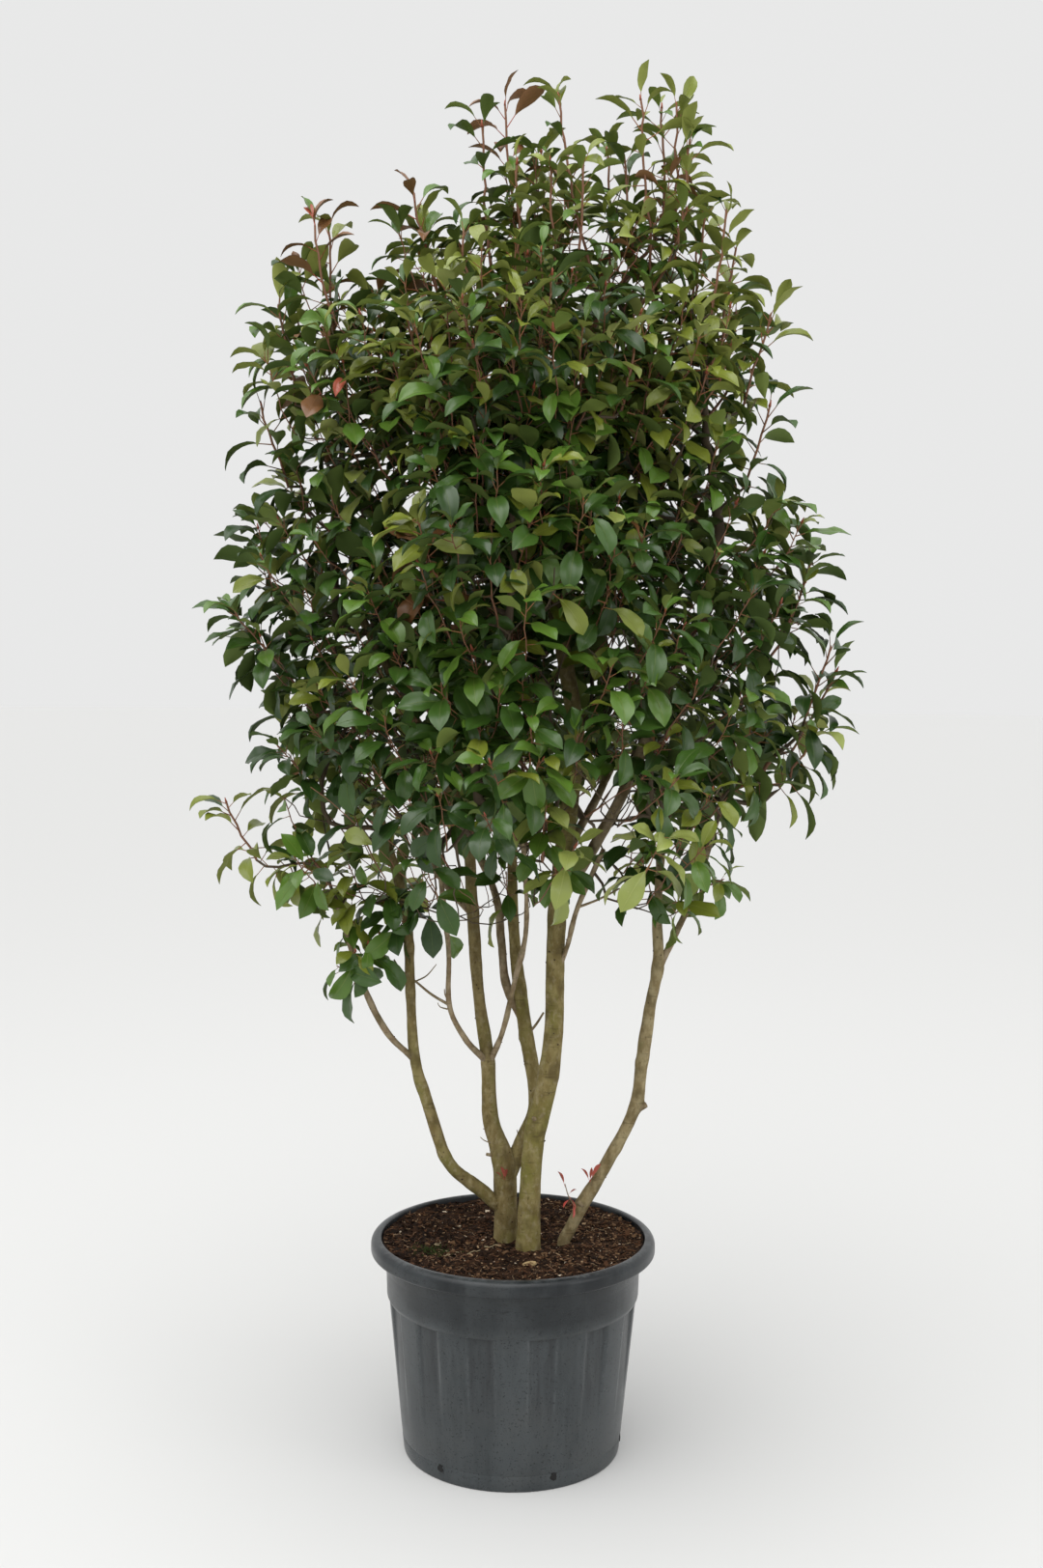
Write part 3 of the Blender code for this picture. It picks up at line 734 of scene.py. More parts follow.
# Each tint of a spray: its upper faces, its undersides and its leaf stalks
TINTS = {
    "deep": ((0.021, 0.052, 0.0085), (0.070, 0.108, 0.026), (0.170, 0.085, 0.032)),
    "mid": ((0.038, 0.088, 0.012), (0.100, 0.143, 0.033), (0.220, 0.100, 0.040)),
    "fresh": ((0.081, 0.160, 0.019), (0.170, 0.222, 0.050), (0.260, 0.110, 0.042)),
    "olive": ((0.170, 0.204, 0.024), (0.250, 0.280, 0.066), (0.300, 0.115, 0.050)),
    "pale": ((0.255, 0.300, 0.070), (0.330, 0.360, 0.115), (0.340, 0.170, 0.060)),
    "bronze": ((0.165, 0.075, 0.028), (0.235, 0.120, 0.055), (0.340, 0.070, 0.040)),
    "red": ((0.440, 0.066, 0.050), (0.460, 0.120, 0.085), (0.400, 0.060, 0.042)),
    "russet": ((0.300, 0.066, 0.034), (0.340, 0.120, 0.070), (0.340, 0.070, 0.042)),
}
TINT_NAMES = list(TINTS)


def leaf_finishes():
    """The four finishes of each tint: face, underside, midrib and stalk."""
    finishes = []
    for tint, (face, back, stalk) in TINTS.items():
        rib = tuple(RIB_TONE * a + RIB_TONE * b for a, b in zip(face, back))
        for part, colour, roughness, shine in (
            ("face", face, 0.32, 0.44),
            ("back", back, 0.65, 0.20),
            ("rib", rib, 0.45, 0.40),
            ("stalk", stalk, 0.50, 0.40),
        ):
            finishes.append(plain_finish(f"leaf_{part}_{tint}", colour, roughness, shine))
    return finishes


# Pot


def pot_wall_radius(height):
    return POT_FOOT_RADIUS + POT_TAPER * height


def pot_inner_radius(height):
    depth_share = max(0.0, (height - PANEL_BOTTOM) / (BAND_BOTTOM - PANEL_BOTTOM))
    return pot_wall_radius(height) - POT_WALL - PANEL_RECESS * depth_share


def arc(centre, radius, start, end, steps):
    """Places round an arc in the profile's plane, angles in degrees from outwards."""
    places = []
    for step in range(steps + 1):
        angle = math.radians(start + (end - start) * step / steps)
        places.append((centre[0] + radius * math.cos(angle), centre[1] + radius * math.sin(angle)))
    return places


def pot_profile():
    """The pot's section, from the middle of its underside, up its wall, over the rim and down
    inside."""
    band_foot = BAND_BOTTOM - BAND_CHAMFER
    rim_foot = POT_HEIGHT - RIM_DEPTH
    outer = [(0.0, 0.0)]
    outer += arc((POT_FOOT_RADIUS - 0.004, 0.004), 0.004, -90, 0, 4)
    outer += [
        (pot_wall_radius(FOOT_RING_HEIGHT - 0.003), FOOT_RING_HEIGHT - 0.003),
        (pot_wall_radius(FOOT_RING_HEIGHT) - FOOT_RING_DEPTH, FOOT_RING_HEIGHT),
        (pot_wall_radius(FOOT_RING_HEIGHT + 0.006), FOOT_RING_HEIGHT + 0.006),
        (pot_wall_radius(PANEL_BOTTOM), PANEL_BOTTOM),
    ]
    rows = 5
    for row in range(1, rows + 1):
        height = PANEL_BOTTOM + (band_foot - LEDGE - PANEL_BOTTOM) * row / rows
        outer.append((pot_wall_radius(height), height))
    outer += [
        (pot_wall_radius(band_foot), band_foot),
        (pot_wall_radius(band_foot) + 0.0025, band_foot + 0.005),
        (BAND_RADIUS - 0.0008, BAND_BOTTOM - 0.002),
        (BAND_RADIUS, BAND_BOTTOM + 0.002),
        (BAND_RADIUS + 0.0022, rim_foot - 0.006),
        (BAND_RADIUS + 0.0050, rim_foot),
        (RIM_RADIUS - 0.0080, rim_foot - 0.0004),
    ]
    outer += arc((RIM_RADIUS - RIM_ROUNDING, rim_foot + RIM_ROUNDING), RIM_ROUNDING, -60, 0, 4)
    outer += arc((RIM_RADIUS - RIM_CURVE, POT_HEIGHT - RIM_CURVE), RIM_CURVE, 5, 90, 8)
    outer += arc((RIM_OPENING_RADIUS + 0.004, POT_HEIGHT - 0.004), 0.004, 90, 180, 4)
    inner = [
        (RIM_OPENING_RADIUS - 0.003, SOIL_TOP),
        (BAND_RADIUS - POT_WALL, BAND_BOTTOM + 0.020),
        (pot_inner_radius(BAND_BOTTOM), BAND_BOTTOM),
        (pot_inner_radius(PANEL_BOTTOM), PANEL_BOTTOM),
        (pot_inner_radius(POT_FLOOR), POT_FLOOR),
        (0.0, POT_FLOOR),
    ]
    return outer + inner


def turned_body(profile, segments):
    """A closed body turned from a profile that starts and ends on the axis."""
    bm = bmesh.new()
    points = [bm.verts.new((radius, 0.0, height)) for radius, height in profile]
    edges = [bm.edges.new(pair) for pair in zip(points, points[1:])]
    bmesh.ops.spin(
        bm,
        geom=points + edges,
        cent=(0.0, 0.0, 0.0),
        axis=(0.0, 0.0, 1.0),
        angle=math.tau,
        steps=segments,
        use_merge=True,
    )
    bmesh.ops.remove_doubles(bm, verts=bm.verts, dist=0.00005)
    return bm


def press_panels_in(bm):
    """Sink the panels: deepest under the band's ledge, level with the wall at their foot, and
    with a narrow slope at each side."""
    top = BAND_BOTTOM - BAND_CHAMFER - LEDGE / 2
    pitch = 360.0 / PANEL_COUNT
    for vert in bm.verts:
        x, y, z = vert.co
        if not PANEL_BOTTOM < z < top or math.hypot(x, y) < pot_wall_radius(z) - POT_WALL / 2:
            continue
        off = abs(math.degrees(math.atan2(x, -y)) % pitch - pitch / 2)
        edge = min(max((PANEL_HALF_WIDTH - off) / PANEL_SLOPE, 0.0), 1.0)
        across = edge * edge * (3.0 - 2.0 * edge)
        depth = PANEL_RECESS * across * (z - PANEL_BOTTOM) / (top - PANEL_BOTTOM)
        vert.co -= Vector((x, y, 0.0)).normalized() * depth


def add_drain_hole(bm, angle):
    """A drain hole: a thin dark disc with an uneven edge, set into the wall at its place, painted
    shade in place of an open hole.
    """
    out = outward(angle)
    place = out * pot_wall_radius(DRAIN_HEIGHT) + Vector((0.0, 0.0, DRAIN_HEIGHT))
    made = bmesh.ops.create_cone(
        bm,
        cap_ends=True,
        segments=40,
        radius1=DRAIN_RADIUS,
        radius2=DRAIN_RADIUS * 0.96,
        depth=0.0016,
        matrix=Matrix.Translation(place) @ out.to_track_quat("Z", "Y").to_matrix().to_4x4(),
    )
    for vert in made["verts"]:
        off = vert.co - place
        turn = math.atan2(off.z, off.dot(out.cross(Vector((0.0, 0.0, 1.0)))))
        torn = 1.0 + 0.42 * noise.noise(Vector((1.6 * math.cos(turn), 1.6 * math.sin(turn), angle)))
        vert.co = place + off * torn
    for face in faces_of(made["verts"]):
        face.material_index = 1


def make_pot(plastic, drain_hole_shade):
    """The nursery pot: turned in one, with its panels pressed in and its drain holes as discs of
    painted shade.
    """
    bm = turned_body(pot_profile(), POT_SEGMENTS)
    press_panels_in(bm)
    bmesh.ops.recalc_face_normals(bm, faces=bm.faces)
    for index in range(DRAIN_COUNT):
        add_drain_hole(bm, DRAIN_FIRST_ANGLE + index * 360.0 / DRAIN_COUNT)
    mesh = bpy.data.meshes.new("nursery_pot")
    bm.to_mesh(mesh)
    bm.free()
    pot = add_piece("nursery_pot", mesh, [plastic, drain_hole_shade], smooth_angle=32)
    settle(pot, "pot_plastic", "pot")


# Compost


def soil_height(x, y):
    """The top of the compost: lumpy, and a little higher by the rim."""
    away = math.hypot(x, y)
    share = max(0.0, (away - SOIL_LEVEL_RADIUS) / (SOIL_RADIUS - SOIL_LEVEL_RADIUS))
    place = Vector((x, y, 0.0))
    lumps = SOIL_BUMP * noise.noise(place * 22.0) + SOIL_GRIT * noise.noise(place * 75.0)
    grit = 0.0018 * noise.noise(place * 190.0)
    return min(SOIL_TOP - 0.002 + lumps + grit + SOIL_DISH * share, POT_HEIGHT - 0.006)


def make_soil(finish):
    profile = [
        (0.0, POT_FLOOR + 0.001),
        (pot_inner_radius(POT_FLOOR) - 0.001, POT_FLOOR + 0.001),
        (pot_inner_radius(BAND_BOTTOM) - 0.001, BAND_BOTTOM),
        (BAND_RADIUS - POT_WALL - 0.001, BAND_BOTTOM + 0.020),
    ]
    rings = 74
    for ring in range(rings):
        profile.append((SOIL_RADIUS * (1.0 - ring / rings), SOIL_TOP))
    profile.append((0.0, SOIL_TOP))
    bm = turned_body(profile, 176)
    for vert in bm.verts:
        if vert.co.z > SOIL_TOP - 0.001:
            vert.co.z = soil_height(vert.co.x, vert.co.y)
    soil = mesh_object("compost", bm, [finish], smooth_angle=70)
    settle(soil, "compost", "soil")


def chip_patterns():
    """A few bark chips: flattened, jagged blocks, one unit long."""
    patterns = []
    for shape in ((1.0, 0.55, 0.16), (1.0, 0.34, 0.20), (0.8, 0.7, 0.14), (1.0, 0.20, 0.12)):
        bm = bmesh.new()
        bmesh.ops.create_cube(bm, size=1.0)
        for vert in bm.verts:
            jag = Vector(RANDOM.uniform(-0.16, 0.16, 3))
            vert.co = Vector((vert.co.x * shape[0], vert.co.y * shape[1], vert.co.z * shape[2]))
            vert.co += Vector((jag.x, jag.y * shape[1], jag.z * shape[2]))
        patterns.append(pattern_arrays(bm))
    return patterns


def random_turns(count, tilt):
    """Turn matrices: any heading, and tipped from level by about the tilt."""
    heading = RANDOM.uniform(0, math.tau, count)
    tip_x = RANDOM.normal(0, tilt, count)
    tip_y = RANDOM.normal(0, tilt, count)
    turns = np.empty((count, 3, 3))
    for index in range(count):
        turn = Matrix.Rotation(heading[index], 3, "Z")
        turn = turn @ Matrix.Rotation(tip_x[index], 3, "X") @ Matrix.Rotation(tip_y[index], 3, "Y")
        turns[index] = np.array(turn)
    return turns


def soil_places(count, sink):
    """Places spread evenly over the compost, sunk into it by a depth."""
    radius = (SOIL_RADIUS - 0.004) * np.sqrt(RANDOM.uniform(0, 1, count))
    angle = RANDOM.uniform(0, math.tau, count)
    x = radius * np.cos(angle)
    y = radius * np.sin(angle)
    z = np.array([soil_height(a, b) for a, b in zip(x, y)]) - sink
    return np.stack([x, y, z], axis=1)


CHIP_COLOURS = {
    "black_brown": (0.010, 0.005, 0.003),
    "dark_brown": (0.030, 0.015, 0.008),
    "red_brown": (0.074, 0.036, 0.019),
    "mid_brown": (0.140, 0.080, 0.042),
    "tan": (0.320, 0.215, 0.125),
    "pale": (0.600, 0.500, 0.380),
}
CHIP_SHARES = (0.27, 0.30, 0.21, 0.14, 0.065, 0.015)


def make_chips():
    """The bark chips on the compost, paler where it is drier."""
    finishes = [
        plain_finish(f"chip_{name}", colour, 0.9, 0.08) for name, colour in CHIP_COLOURS.items()
    ]
    patterns = chip_patterns()
    sizes = RANDOM.gamma(2.2, 0.0019, CHIP_COUNT) + 0.0020
    places = soil_places(CHIP_COUNT, 0.0)
    rank = RANDOM.uniform(0, 1, CHIP_COUNT)
    damp = np.array([noise.noise(Vector((x * 11, y * 11, 3.0))) for x, y, z in places])
    damp += 2.2 * (places[:, 0] + 0.04) + 0.8 * places[:, 1]
    rank = np.clip(rank ** np.exp(-1.1 * damp + 0.12), 0, 0.999)
    tints = np.searchsorted(np.cumsum(CHIP_SHARES), rank)
    sizes[tints >= 4] *= 0.8
    which = RANDOM.integers(0, len(patterns), CHIP_COUNT)
    turns = random_turns(CHIP_COUNT, CHIP_TILT)
    mesh = dealt_mesh("bark_chips", patterns, which, places, turns, sizes, tints, 1)
    mesh.shade_flat()
    chips = add_piece("bark_chips", mesh, finishes)
    settle(chips, "compost")


def tube_arrays(paths, radii, sides):
    """Many thin tubes, each with its own places and radii, as arrays of places and quads."""
    all_verts, all_faces, owners = [], [], []
    offset = 0
    angles = np.arange(sides) * math.tau / sides
    for number, (path, widths) in enumerate(zip(paths, radii)):
        path = np.asarray(path, float)
        along = np.gradient(path, axis=0)
        along /= np.linalg.norm(along, axis=1)[:, None] + 1e-12
        normal = np.cross(along[0], (0.31, 0.17, 0.93))
        if np.linalg.norm(normal) < 0.05:
            normal = np.cross(along[0], (1.0, 0.0, 0.0))
        rings = []
        for place, way, width in zip(path, along, widths):
            normal = normal - way * normal.dot(way)
            normal /= np.linalg.norm(normal)
            beside = np.cross(way, normal)
            spread = np.cos(angles)[:, None] * normal + np.sin(angles)[:, None] * beside
            rings.append(place + spread * width)
        count = len(path)
        all_verts.append(np.concatenate(rings))
        base = offset + np.arange(count - 1)[:, None] * sides
        side = np.arange(sides)[None]
        turn = (side + 1) % sides
        quads = np.stack([base + side, base + turn, base + turn + sides, base + side + sides], axis=2)
        all_faces.append(quads.reshape(-1, 4))
        owners.append(np.stack([
            np.full((count - 1) * sides, number), np.repeat(np.arange(count - 1), sides)
        ], axis=1))
        offset += count * sides
    return np.concatenate(all_verts), np.concatenate(all_faces), np.concatenate(owners)


def bent_strand(foot, length, rise, curl):
    """A thin strand that wanders away from its foot."""
    heading = RANDOM.uniform(0, math.tau)
    places = [np.array(foot, float)]
    steps = 7
    for step in range(steps):
        heading += RANDOM.normal(0, curl)
        ahead = np.array([math.cos(heading), math.sin(heading), RANDOM.normal(rise, 0.3)])
        places.append(places[-1] + ahead / np.linalg.norm(ahead) * length / steps)
    return np.array(places)


# Pale curly roots that lie on the compost: where each starts and how long it is
CURLY_ROOTS = [
    ((-0.155, -0.030), 0.060), ((-0.113, -0.060), 0.075), ((-0.095, -0.075), 0.050),
    ((-0.060, -0.035), 0.055), ((-0.130, -0.085), 0.045), ((0.110, 0.060), 0.040),
]
MOSS_PLACE = (-0.170, -0.075)
MOSS_STRANDS = 90
FIBRE_COLOURS = {
    "fibre_red_brown": (0.10, 0.045, 0.022),
    "fibre_brown": (0.17, 0.095, 0.055),
    "fibre_tan": (0.24, 0.165, 0.10),
    "root_pale": (0.34, 0.28, 0.17),
    "moss_green": (0.030, 0.044, 0.010),
}


def make_fibres():
    """The fibres, the curly roots and the tuft of moss that lie on the compost."""
    finishes = [plain_finish(name, colour, 0.9, 0.15) for name, colour in FIBRE_COLOURS.items()]
    paths, radii, tints = [], [], []
    for place in soil_places(FIBRE_COUNT, -0.001):
        paths.append(bent_strand(place, RANDOM.uniform(0.008, 0.026), 0.10, 0.30))
        radii.append(np.linspace(0.0008, 0.0004, 8) * RANDOM.uniform(0.6, 1.5))
        tints.append(RANDOM.choice(3, p=[0.52, 0.36, 0.12]))
    for (x, y), length in CURLY_ROOTS:
        paths.append(bent_strand((x, y, soil_height(x, y) + 0.002), 0.65 * length, 0.10, 0.75))
        radii.append(np.linspace(0.0013, 0.0007, 8))
        tints.append(3)
    for _ in range(MOSS_STRANDS):
        x, y = np.array(MOSS_PLACE) + RANDOM.normal(0, 0.020, 2)
        paths.append(bent_strand((x, y, soil_height(x, y)), 0.012, 0.5, 0.8))
        radii.append(np.full(8, 0.0007))
        tints.append(4)
    for path in paths:
        away = np.hypot(path[:, 0], path[:, 1])
        pull = np.minimum(1.0, (SOIL_RADIUS - 0.003) / away)
        path[:, :2] *= pull[:, None]
        floor = np.array([soil_height(x, y) for x, y in path[:, :2]])
        path[:, 2] = np.clip(path[:, 2], floor + 0.0005, floor + 0.010)
    verts, faces, owners = tube_arrays(paths, radii, 4)
    mesh = joined_mesh("soil_fibres", verts, faces, np.array(tints)[owners[:, 0]])
    fibres = add_piece("soil_fibres", mesh, finishes)
    settle(fibres, "compost")


def make_oval_chip(finishes):
    """The flat oval chip of wood, dark in its middle, in front of the centre stem."""
    bm = bmesh.new()
    place = (0.034, -0.138)
    bmesh.ops.create_cone(bm, cap_ends=True, segments=20, radius1=0.0105, radius2=0.0100,
                          depth=0.0035)
    top = [face for face in bm.faces if face.normal.z > 0.9]
    bmesh.ops.inset_region(bm, faces=top, thickness=0.0042)
    top[0].material_index = 1
    bmesh.ops.translate(bm, verts=top[0].verts, vec=(0.0, 0.0, -0.0012))
    bmesh.ops.scale(bm, vec=(1.45, 0.80, 1.0), verts=bm.verts)
    bmesh.ops.rotate(bm, verts=bm.verts, matrix=Matrix.Rotation(0.14, 3, "X"))
    bmesh.ops.rotate(bm, verts=bm.verts, matrix=Matrix.Rotation(-0.16, 3, "Y"))
    bmesh.ops.translate(bm, verts=bm.verts, vec=(*place, soil_height(*place) + 0.003))
    chip = mesh_object("oval_chip", bm, finishes, smooth_angle=40)
    settle(chip, "compost")


# Stems and boughs

# Each limb: the limb that carries it, its bark, its radii from foot to tip and the points
# that it passes, in millimetres. They are the solids' own, from the compost's top at 438.
LIMBS = {
    "left_stem": {
        "from": None, "bark": "tan", "sides": 22,
        "radii": (22.5, 24.5, 17.5, 14.5, 13, 12.6, 12.2, 11.6, 11, 10.3, 9.6, 8.8),
        "points": [
            (-16, 26, 438), (-17, 26, 520), (-23, 27, 610), (-50, 30, 697), (-57, 37, 814),
            (-77, 42, 957), (-93, 45, 1151), (-102, 45, 1284), (-138, 45, 1392), (-215, 40, 1540),
            (-325, 25, 1750),
        ],
    },
    "left_bough": {
        "from": "left_stem", "bark": "tan", "sides": 18,
        "radii": (15.5, 13, 11.8, 10.5, 9.8, 9.2, 8),
        "points": [
            (-18, 26, 495), (-73, 10, 549), (-136, -10, 609), (-173, -20, 712), (-208, -30, 837),
            (-218, -40, 994), (-230, -43, 1160), (-290, -55, 1370),
        ],
    },
    "left_low_branch": {
        "from": "left_bough", "bark": "brown", "sides": 12,
        "radii": (7.2, 6.4, 5.6, 4.8),
        "points": [
            (-207, -30, 832), (-266, -50, 898), (-314, -65, 999), (-365, -78, 1170),
        ],
    },
    "left_inner_branch": {
        "from": "left_stem", "bark": "brown", "sides": 12,
        "radii": (6.8, 6, 5.8, 5.4, 5),
        "points": [
            (-58, 34, 816), (-104, 0, 872), (-137, -20, 948), (-138, -45, 1060), (-149, -85, 1178),
            (-160, -205, 1380),
        ],
    },
    "inner_right_branch": {
        "from": "left_stem", "bark": "brown", "sides": 12,
        "radii": (6, 5.2, 4.8, 4.5),
        "points": [
            (-56, 34, 808), (-26, 10, 887), (-1, -15, 1001), (22, -60, 1129), (10, -225, 1370),
        ],
    },
    "left_upper_limb": {
        "from": "left_stem", "bark": "brown", "sides": 12,
        "radii": (9.2, 8.4, 7.8, 7),
        "points": [
            (-92, 45, 1132), (-146, 75, 1187), (-190, 115, 1250), (-220, 170, 1360),
        ],
    },
    "back_stem": {
        "from": "left_stem", "bark": "olive", "sides": 18,
        "radii": (18, 15.6, 14.2, 11, 10.8, 10.4, 9),
        "points": [
            (-18, 27, 560), (18, 44, 642), (47, 55, 722), (26, 70, 860), (8, 85, 974),
            (-5, 100, 1105), (-10, 120, 1260), (-10, 150, 1450), (0, 225, 1770),
        ],
    },
    "back_left_branch": {
        "from": "back_stem", "bark": "brown", "sides": 12,
        "radii": (9.2, 8.4, 7.8, 6.8),
        "points": [
            (14, 77, 902), (-20, 90, 972), (-32, 108, 1070), (-52, 135, 1182), (-160, 215, 1390),
        ],
    },
    "centre_stem": {
        "from": None, "bark": "olive", "sides": 22,
        "radii": (23.2, 21.8, 21.2, 19.5, 18.8, 18.6, 18, 16, 12.5),
        "points": [
            (32, -34, 438), (34, -34, 545), (44, -35, 679), (68, -33, 785), (81, -30, 899),
            (84, -22, 1091), (91, -18, 1210), (110, -2, 1370), (121, 10, 1516), (95, 14, 1680),
            (50, 16, 1900),
        ],
    },
    "centre_twig": {
        "from": "centre_stem", "bark": "brown", "sides": 12,
        "radii": (5.8, 5.2, 4.6),
        "points": [
            (84, -24, 1010), (107, -40, 1077), (127, -70, 1163), (175, -140, 1290),
        ],
    },
    "right_upper_limb": {
        "from": "centre_stem", "bark": "brown", "sides": 14,
        "radii": (12.5, 11.5, 10.5, 9),
        "points": [
            (92, -18, 1170), (151, -25, 1267), (215, -30, 1387), (275, -30, 1530), (360, -10, 1740),
        ],
    },
    "back_right_limb": {
        "from": "centre_stem", "bark": "brown", "sides": 12,
        "radii": (10, 9, 7.8),
        "points": [
            (93, -16, 1215), (122, 60, 1290), (165, 130, 1360), (205, 215, 1430),
        ],
    },
    "right_stem": {
        "from": None, "bark": "pale", "sides": 18,
        "radii": (11.5, 13.5, 13, 12.8, 11.8, 11, 8.5, 7.5),
        "points": [
            (104, -8, 438), (148, -8, 525), (202, -10, 624), (253, -14, 731), (267, -20, 833),
            (281, -25, 948), (297, -30, 1040), (292, -50, 1150), (292, -160, 1350),
        ],
    },
    "right_fork": {
        "from": "right_stem", "bark": "brown", "sides": 12,
        "radii": (7.6, 7, 6.4, 5.6),
        "points": [
            (294, -29, 1022), (331, -28, 1101), (369, -20, 1188), (425, 0, 1360),
        ],
    },
}
for limb in LIMBS.values():
    limb["radii"], limb["points"] = metres(limb["radii"]), metres(limb["points"])

# Swellings on the bark: the limb, its height, how far round from the front, the swelling's
# reach along and round the limb, and how far it stands out
KNOTS = [
    ("centre_stem", 0.700, -35, 0.016, 0.0045), ("centre_stem", 0.735, -20, 0.010, 0.0050),
    ("centre_stem", 0.905, 5, 0.009, 0.0030), ("centre_stem", 0.800, 60, 0.008, 0.0020),
    ("left_stem", 0.615, -60, 0.022, 0.0050), ("left_stem", 0.600, 70, 0.020, 0.0040),
    ("left_stem", 0.812, 20, 0.018, 0.0035), ("left_stem", 0.500, -75, 0.010, 0.0035),
    ("left_bough", 0.620, -80, 0.016, 0.0025), ("left_bough", 0.560, 0, 0.010, 0.0020),
    ("right_stem", 0.525, -60, 0.016, 0.0050), ("right_stem", 0.738, 95, 0.013, 0.0050),
    ("right_stem", 0.640, 60, 0.014, 0.0022), ("right_stem", 0.830, -70, 0.008, 0.0018),
    ("right_stem", 1.030, 0, 0.020, 0.0025), ("back_stem", 0.870, 0, 0.014, 0.0030),
    ("back_stem", 0.860, -80, 0.008, 0.0030), ("left_stem", 1.130, 60, 0.016, 0.0030),
]


def limb_path(name, step=RING_STEP):
    return smooth_path(LIMBS[name]["points"], step)


def at_height(path, height):
    return min(path, key=lambda place: abs(place.z - height))


def raise_knots(name, bm):
    """Swellings on one limb's bark."""
    path = limb_path(name)
    for limb, height, turn, reach, swell in KNOTS:
        if limb != name:
            continue
        centre = at_height(path, height) + outward(turn) * share_of(LIMBS[name]["radii"], 0.4)
        for vert in bm.verts:
            away = (vert.co - centre).length / reach
            if away < 2.2:
                vert.co += vert.normal * swell * math.exp(-away * away)


def make_limb(name, barks):
    """One stem or branch, with lumps, grain, leaf nodes and knots in its bark."""
    limb = LIMBS[name]
    path = limb_path(name)
    count = len(path)
    radii = [share_of(limb["radii"], index / (count - 1)) for index in range(count)]
    in_soil = limb["from"] is None
    if in_soil:
        foot = path[0].z
        radii = [
            radius * (1.0 + FOOT_FLARE * math.exp(-(place.z - foot) / FOOT_FLARE_HEIGHT))
            for radius, place in zip(radii, path)
        ]
        path[0].z -= SOIL_SINK
    bm = bmesh.new()
    drawn_tube(bm, path, radii, limb["sides"], level_foot=in_soil)
    bmesh.ops.recalc_face_normals(bm, faces=bm.faces)
    bm.normal_update()
    shift = Vector((len(name) * 1.7, 0.0, 0.0))
    for vert in bm.verts:
        slow = noise.noise(Vector((vert.co.x * 26, vert.co.y * 26, vert.co.z * 11)) + shift)
        quick = noise.noise(Vector((vert.co.x * 170, vert.co.y * 170, vert.co.z * 60)))
        ring = noise.noise(Vector((shift.x, vert.co.x * 9, vert.co.z * 21)))
        node = NODE_SWELL * max(0.0, ring - 0.15) * 3.0
        vert.co += vert.normal * (BARK_LUMP * slow + BARK_GRAIN * quick + node)
    raise_knots(name, bm)
    piece = mesh_object(f"{name}_bark", bm, [barks[limb["bark"]]], smooth_angle=80)
    settle(piece, "stem_bark" if limb["radii"][0] > 0.01 else "twig_bark", name)


# Crown


def mass_names():
    return [name for name in frame["nodes"] if name not in LIMBS and name not in ("pot", "soil")]


def mass_trees(names):
    """A search tree of each mass's faces."""
    trees = {}
    for name in names:
        mesh = frame["nodes"][name].data
        verts = [vert.co.copy() for vert in mesh.vertices]
        faces = [list(polygon.vertices) for polygon in mesh.polygons]
        trees[name] = BVHTree.FromPolygons(verts, faces)
    return trees


def is_inside(tree, place):
    """Whether a place is inside a closed shape, by counting the walls on one side of it."""
    way = Vector((0.213, 0.319, 0.923)).normalized()
    start = place.copy()
    walls = 0
    while walls < 9:
        hit = tree.ray_cast(start, way)[0]
        if hit is None:
            return walls % 2 == 1
        walls += 1
        start = hit + way * 0.00001
    return False


def crown_skin(names, trees):
    """Places on the masses' faces that look out of the crown, not at another mass."""
    places = []
    for name in names:
        mesh = frame["nodes"][name].data
        for polygon in mesh.polygons:
            centre = Vector(polygon.center)
            probe = centre + Vector(polygon.normal) * SKIN_PROBE
            faces_mass = any(
                trees[other].find_nearest(probe, SKIN_REACH)[0] is not None
                for other in names if other != name
            )
            if faces_mass:
                continue
            places.append(centre)
            places += [centre.lerp(mesh.vertices[index].co, 0.6) for index in polygon.vertices]
    skin = KDTree(len(places))
    for index, place in enumerate(places):
        skin.insert(place, index)
    skin.balance()
    return skin


def crown_candidates(names, trees, skin):
    """Places inside the masses, each with its mass and its depth below the crown's skin."""
    places, owners, depths = [], [], []
    for number, name in enumerate(names):
        low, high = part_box(name)
        size = high - low
        wanted = int(CANDIDATES * (size.x * size.y * size.z) / CANDIDATE_ROOM)
        for _ in range(wanted):
            spot = Vector([RANDOM.uniform(low[axis], high[axis]) for axis in range(3)])
            if is_inside(trees[name], spot):
                places.append(spot[:])
                owners.append(number)
                depths.append(skin.find(spot)[2])
    add_waist_places(names, trees, places, owners, depths)
    return np.array(places), np.array(owners), np.array(depths)


def add_waist_places(names, trees, places, owners, depths):
    """Places between the low and the middle masses, where the shoots close the crown."""
    low, high = WAIST_HEIGHTS
    wide, deep = WAIST_HALF_SIZES
    for _ in range(int(CANDIDATES * 4 * wide * deep * (high - low) / CANDIDATE_ROOM)):
        spot = Vector([RANDOM.uniform(-1, 1), RANDOM.uniform(-1, 1), RANDOM.uniform(low, high)])
        off = math.hypot(spot.x, spot.y)
        spot.x = WAIST_CENTRE[0] + wide * spot.x
        spot.y = WAIST_CENTRE[1] + deep * spot.y
        if off > 1.0 or any(is_inside(tree, spot) for tree in trees.values()):
            continue
        gaps = [(trees[name].find_nearest(spot)[3], number) for number, name in enumerate(names)]
        gap, nearest = min(gaps)
        if gap < WAIST_REACH:
            places.append(spot[:])
            owners.append(nearest)
            depths.append((1.0 - off) * min(wide, deep))


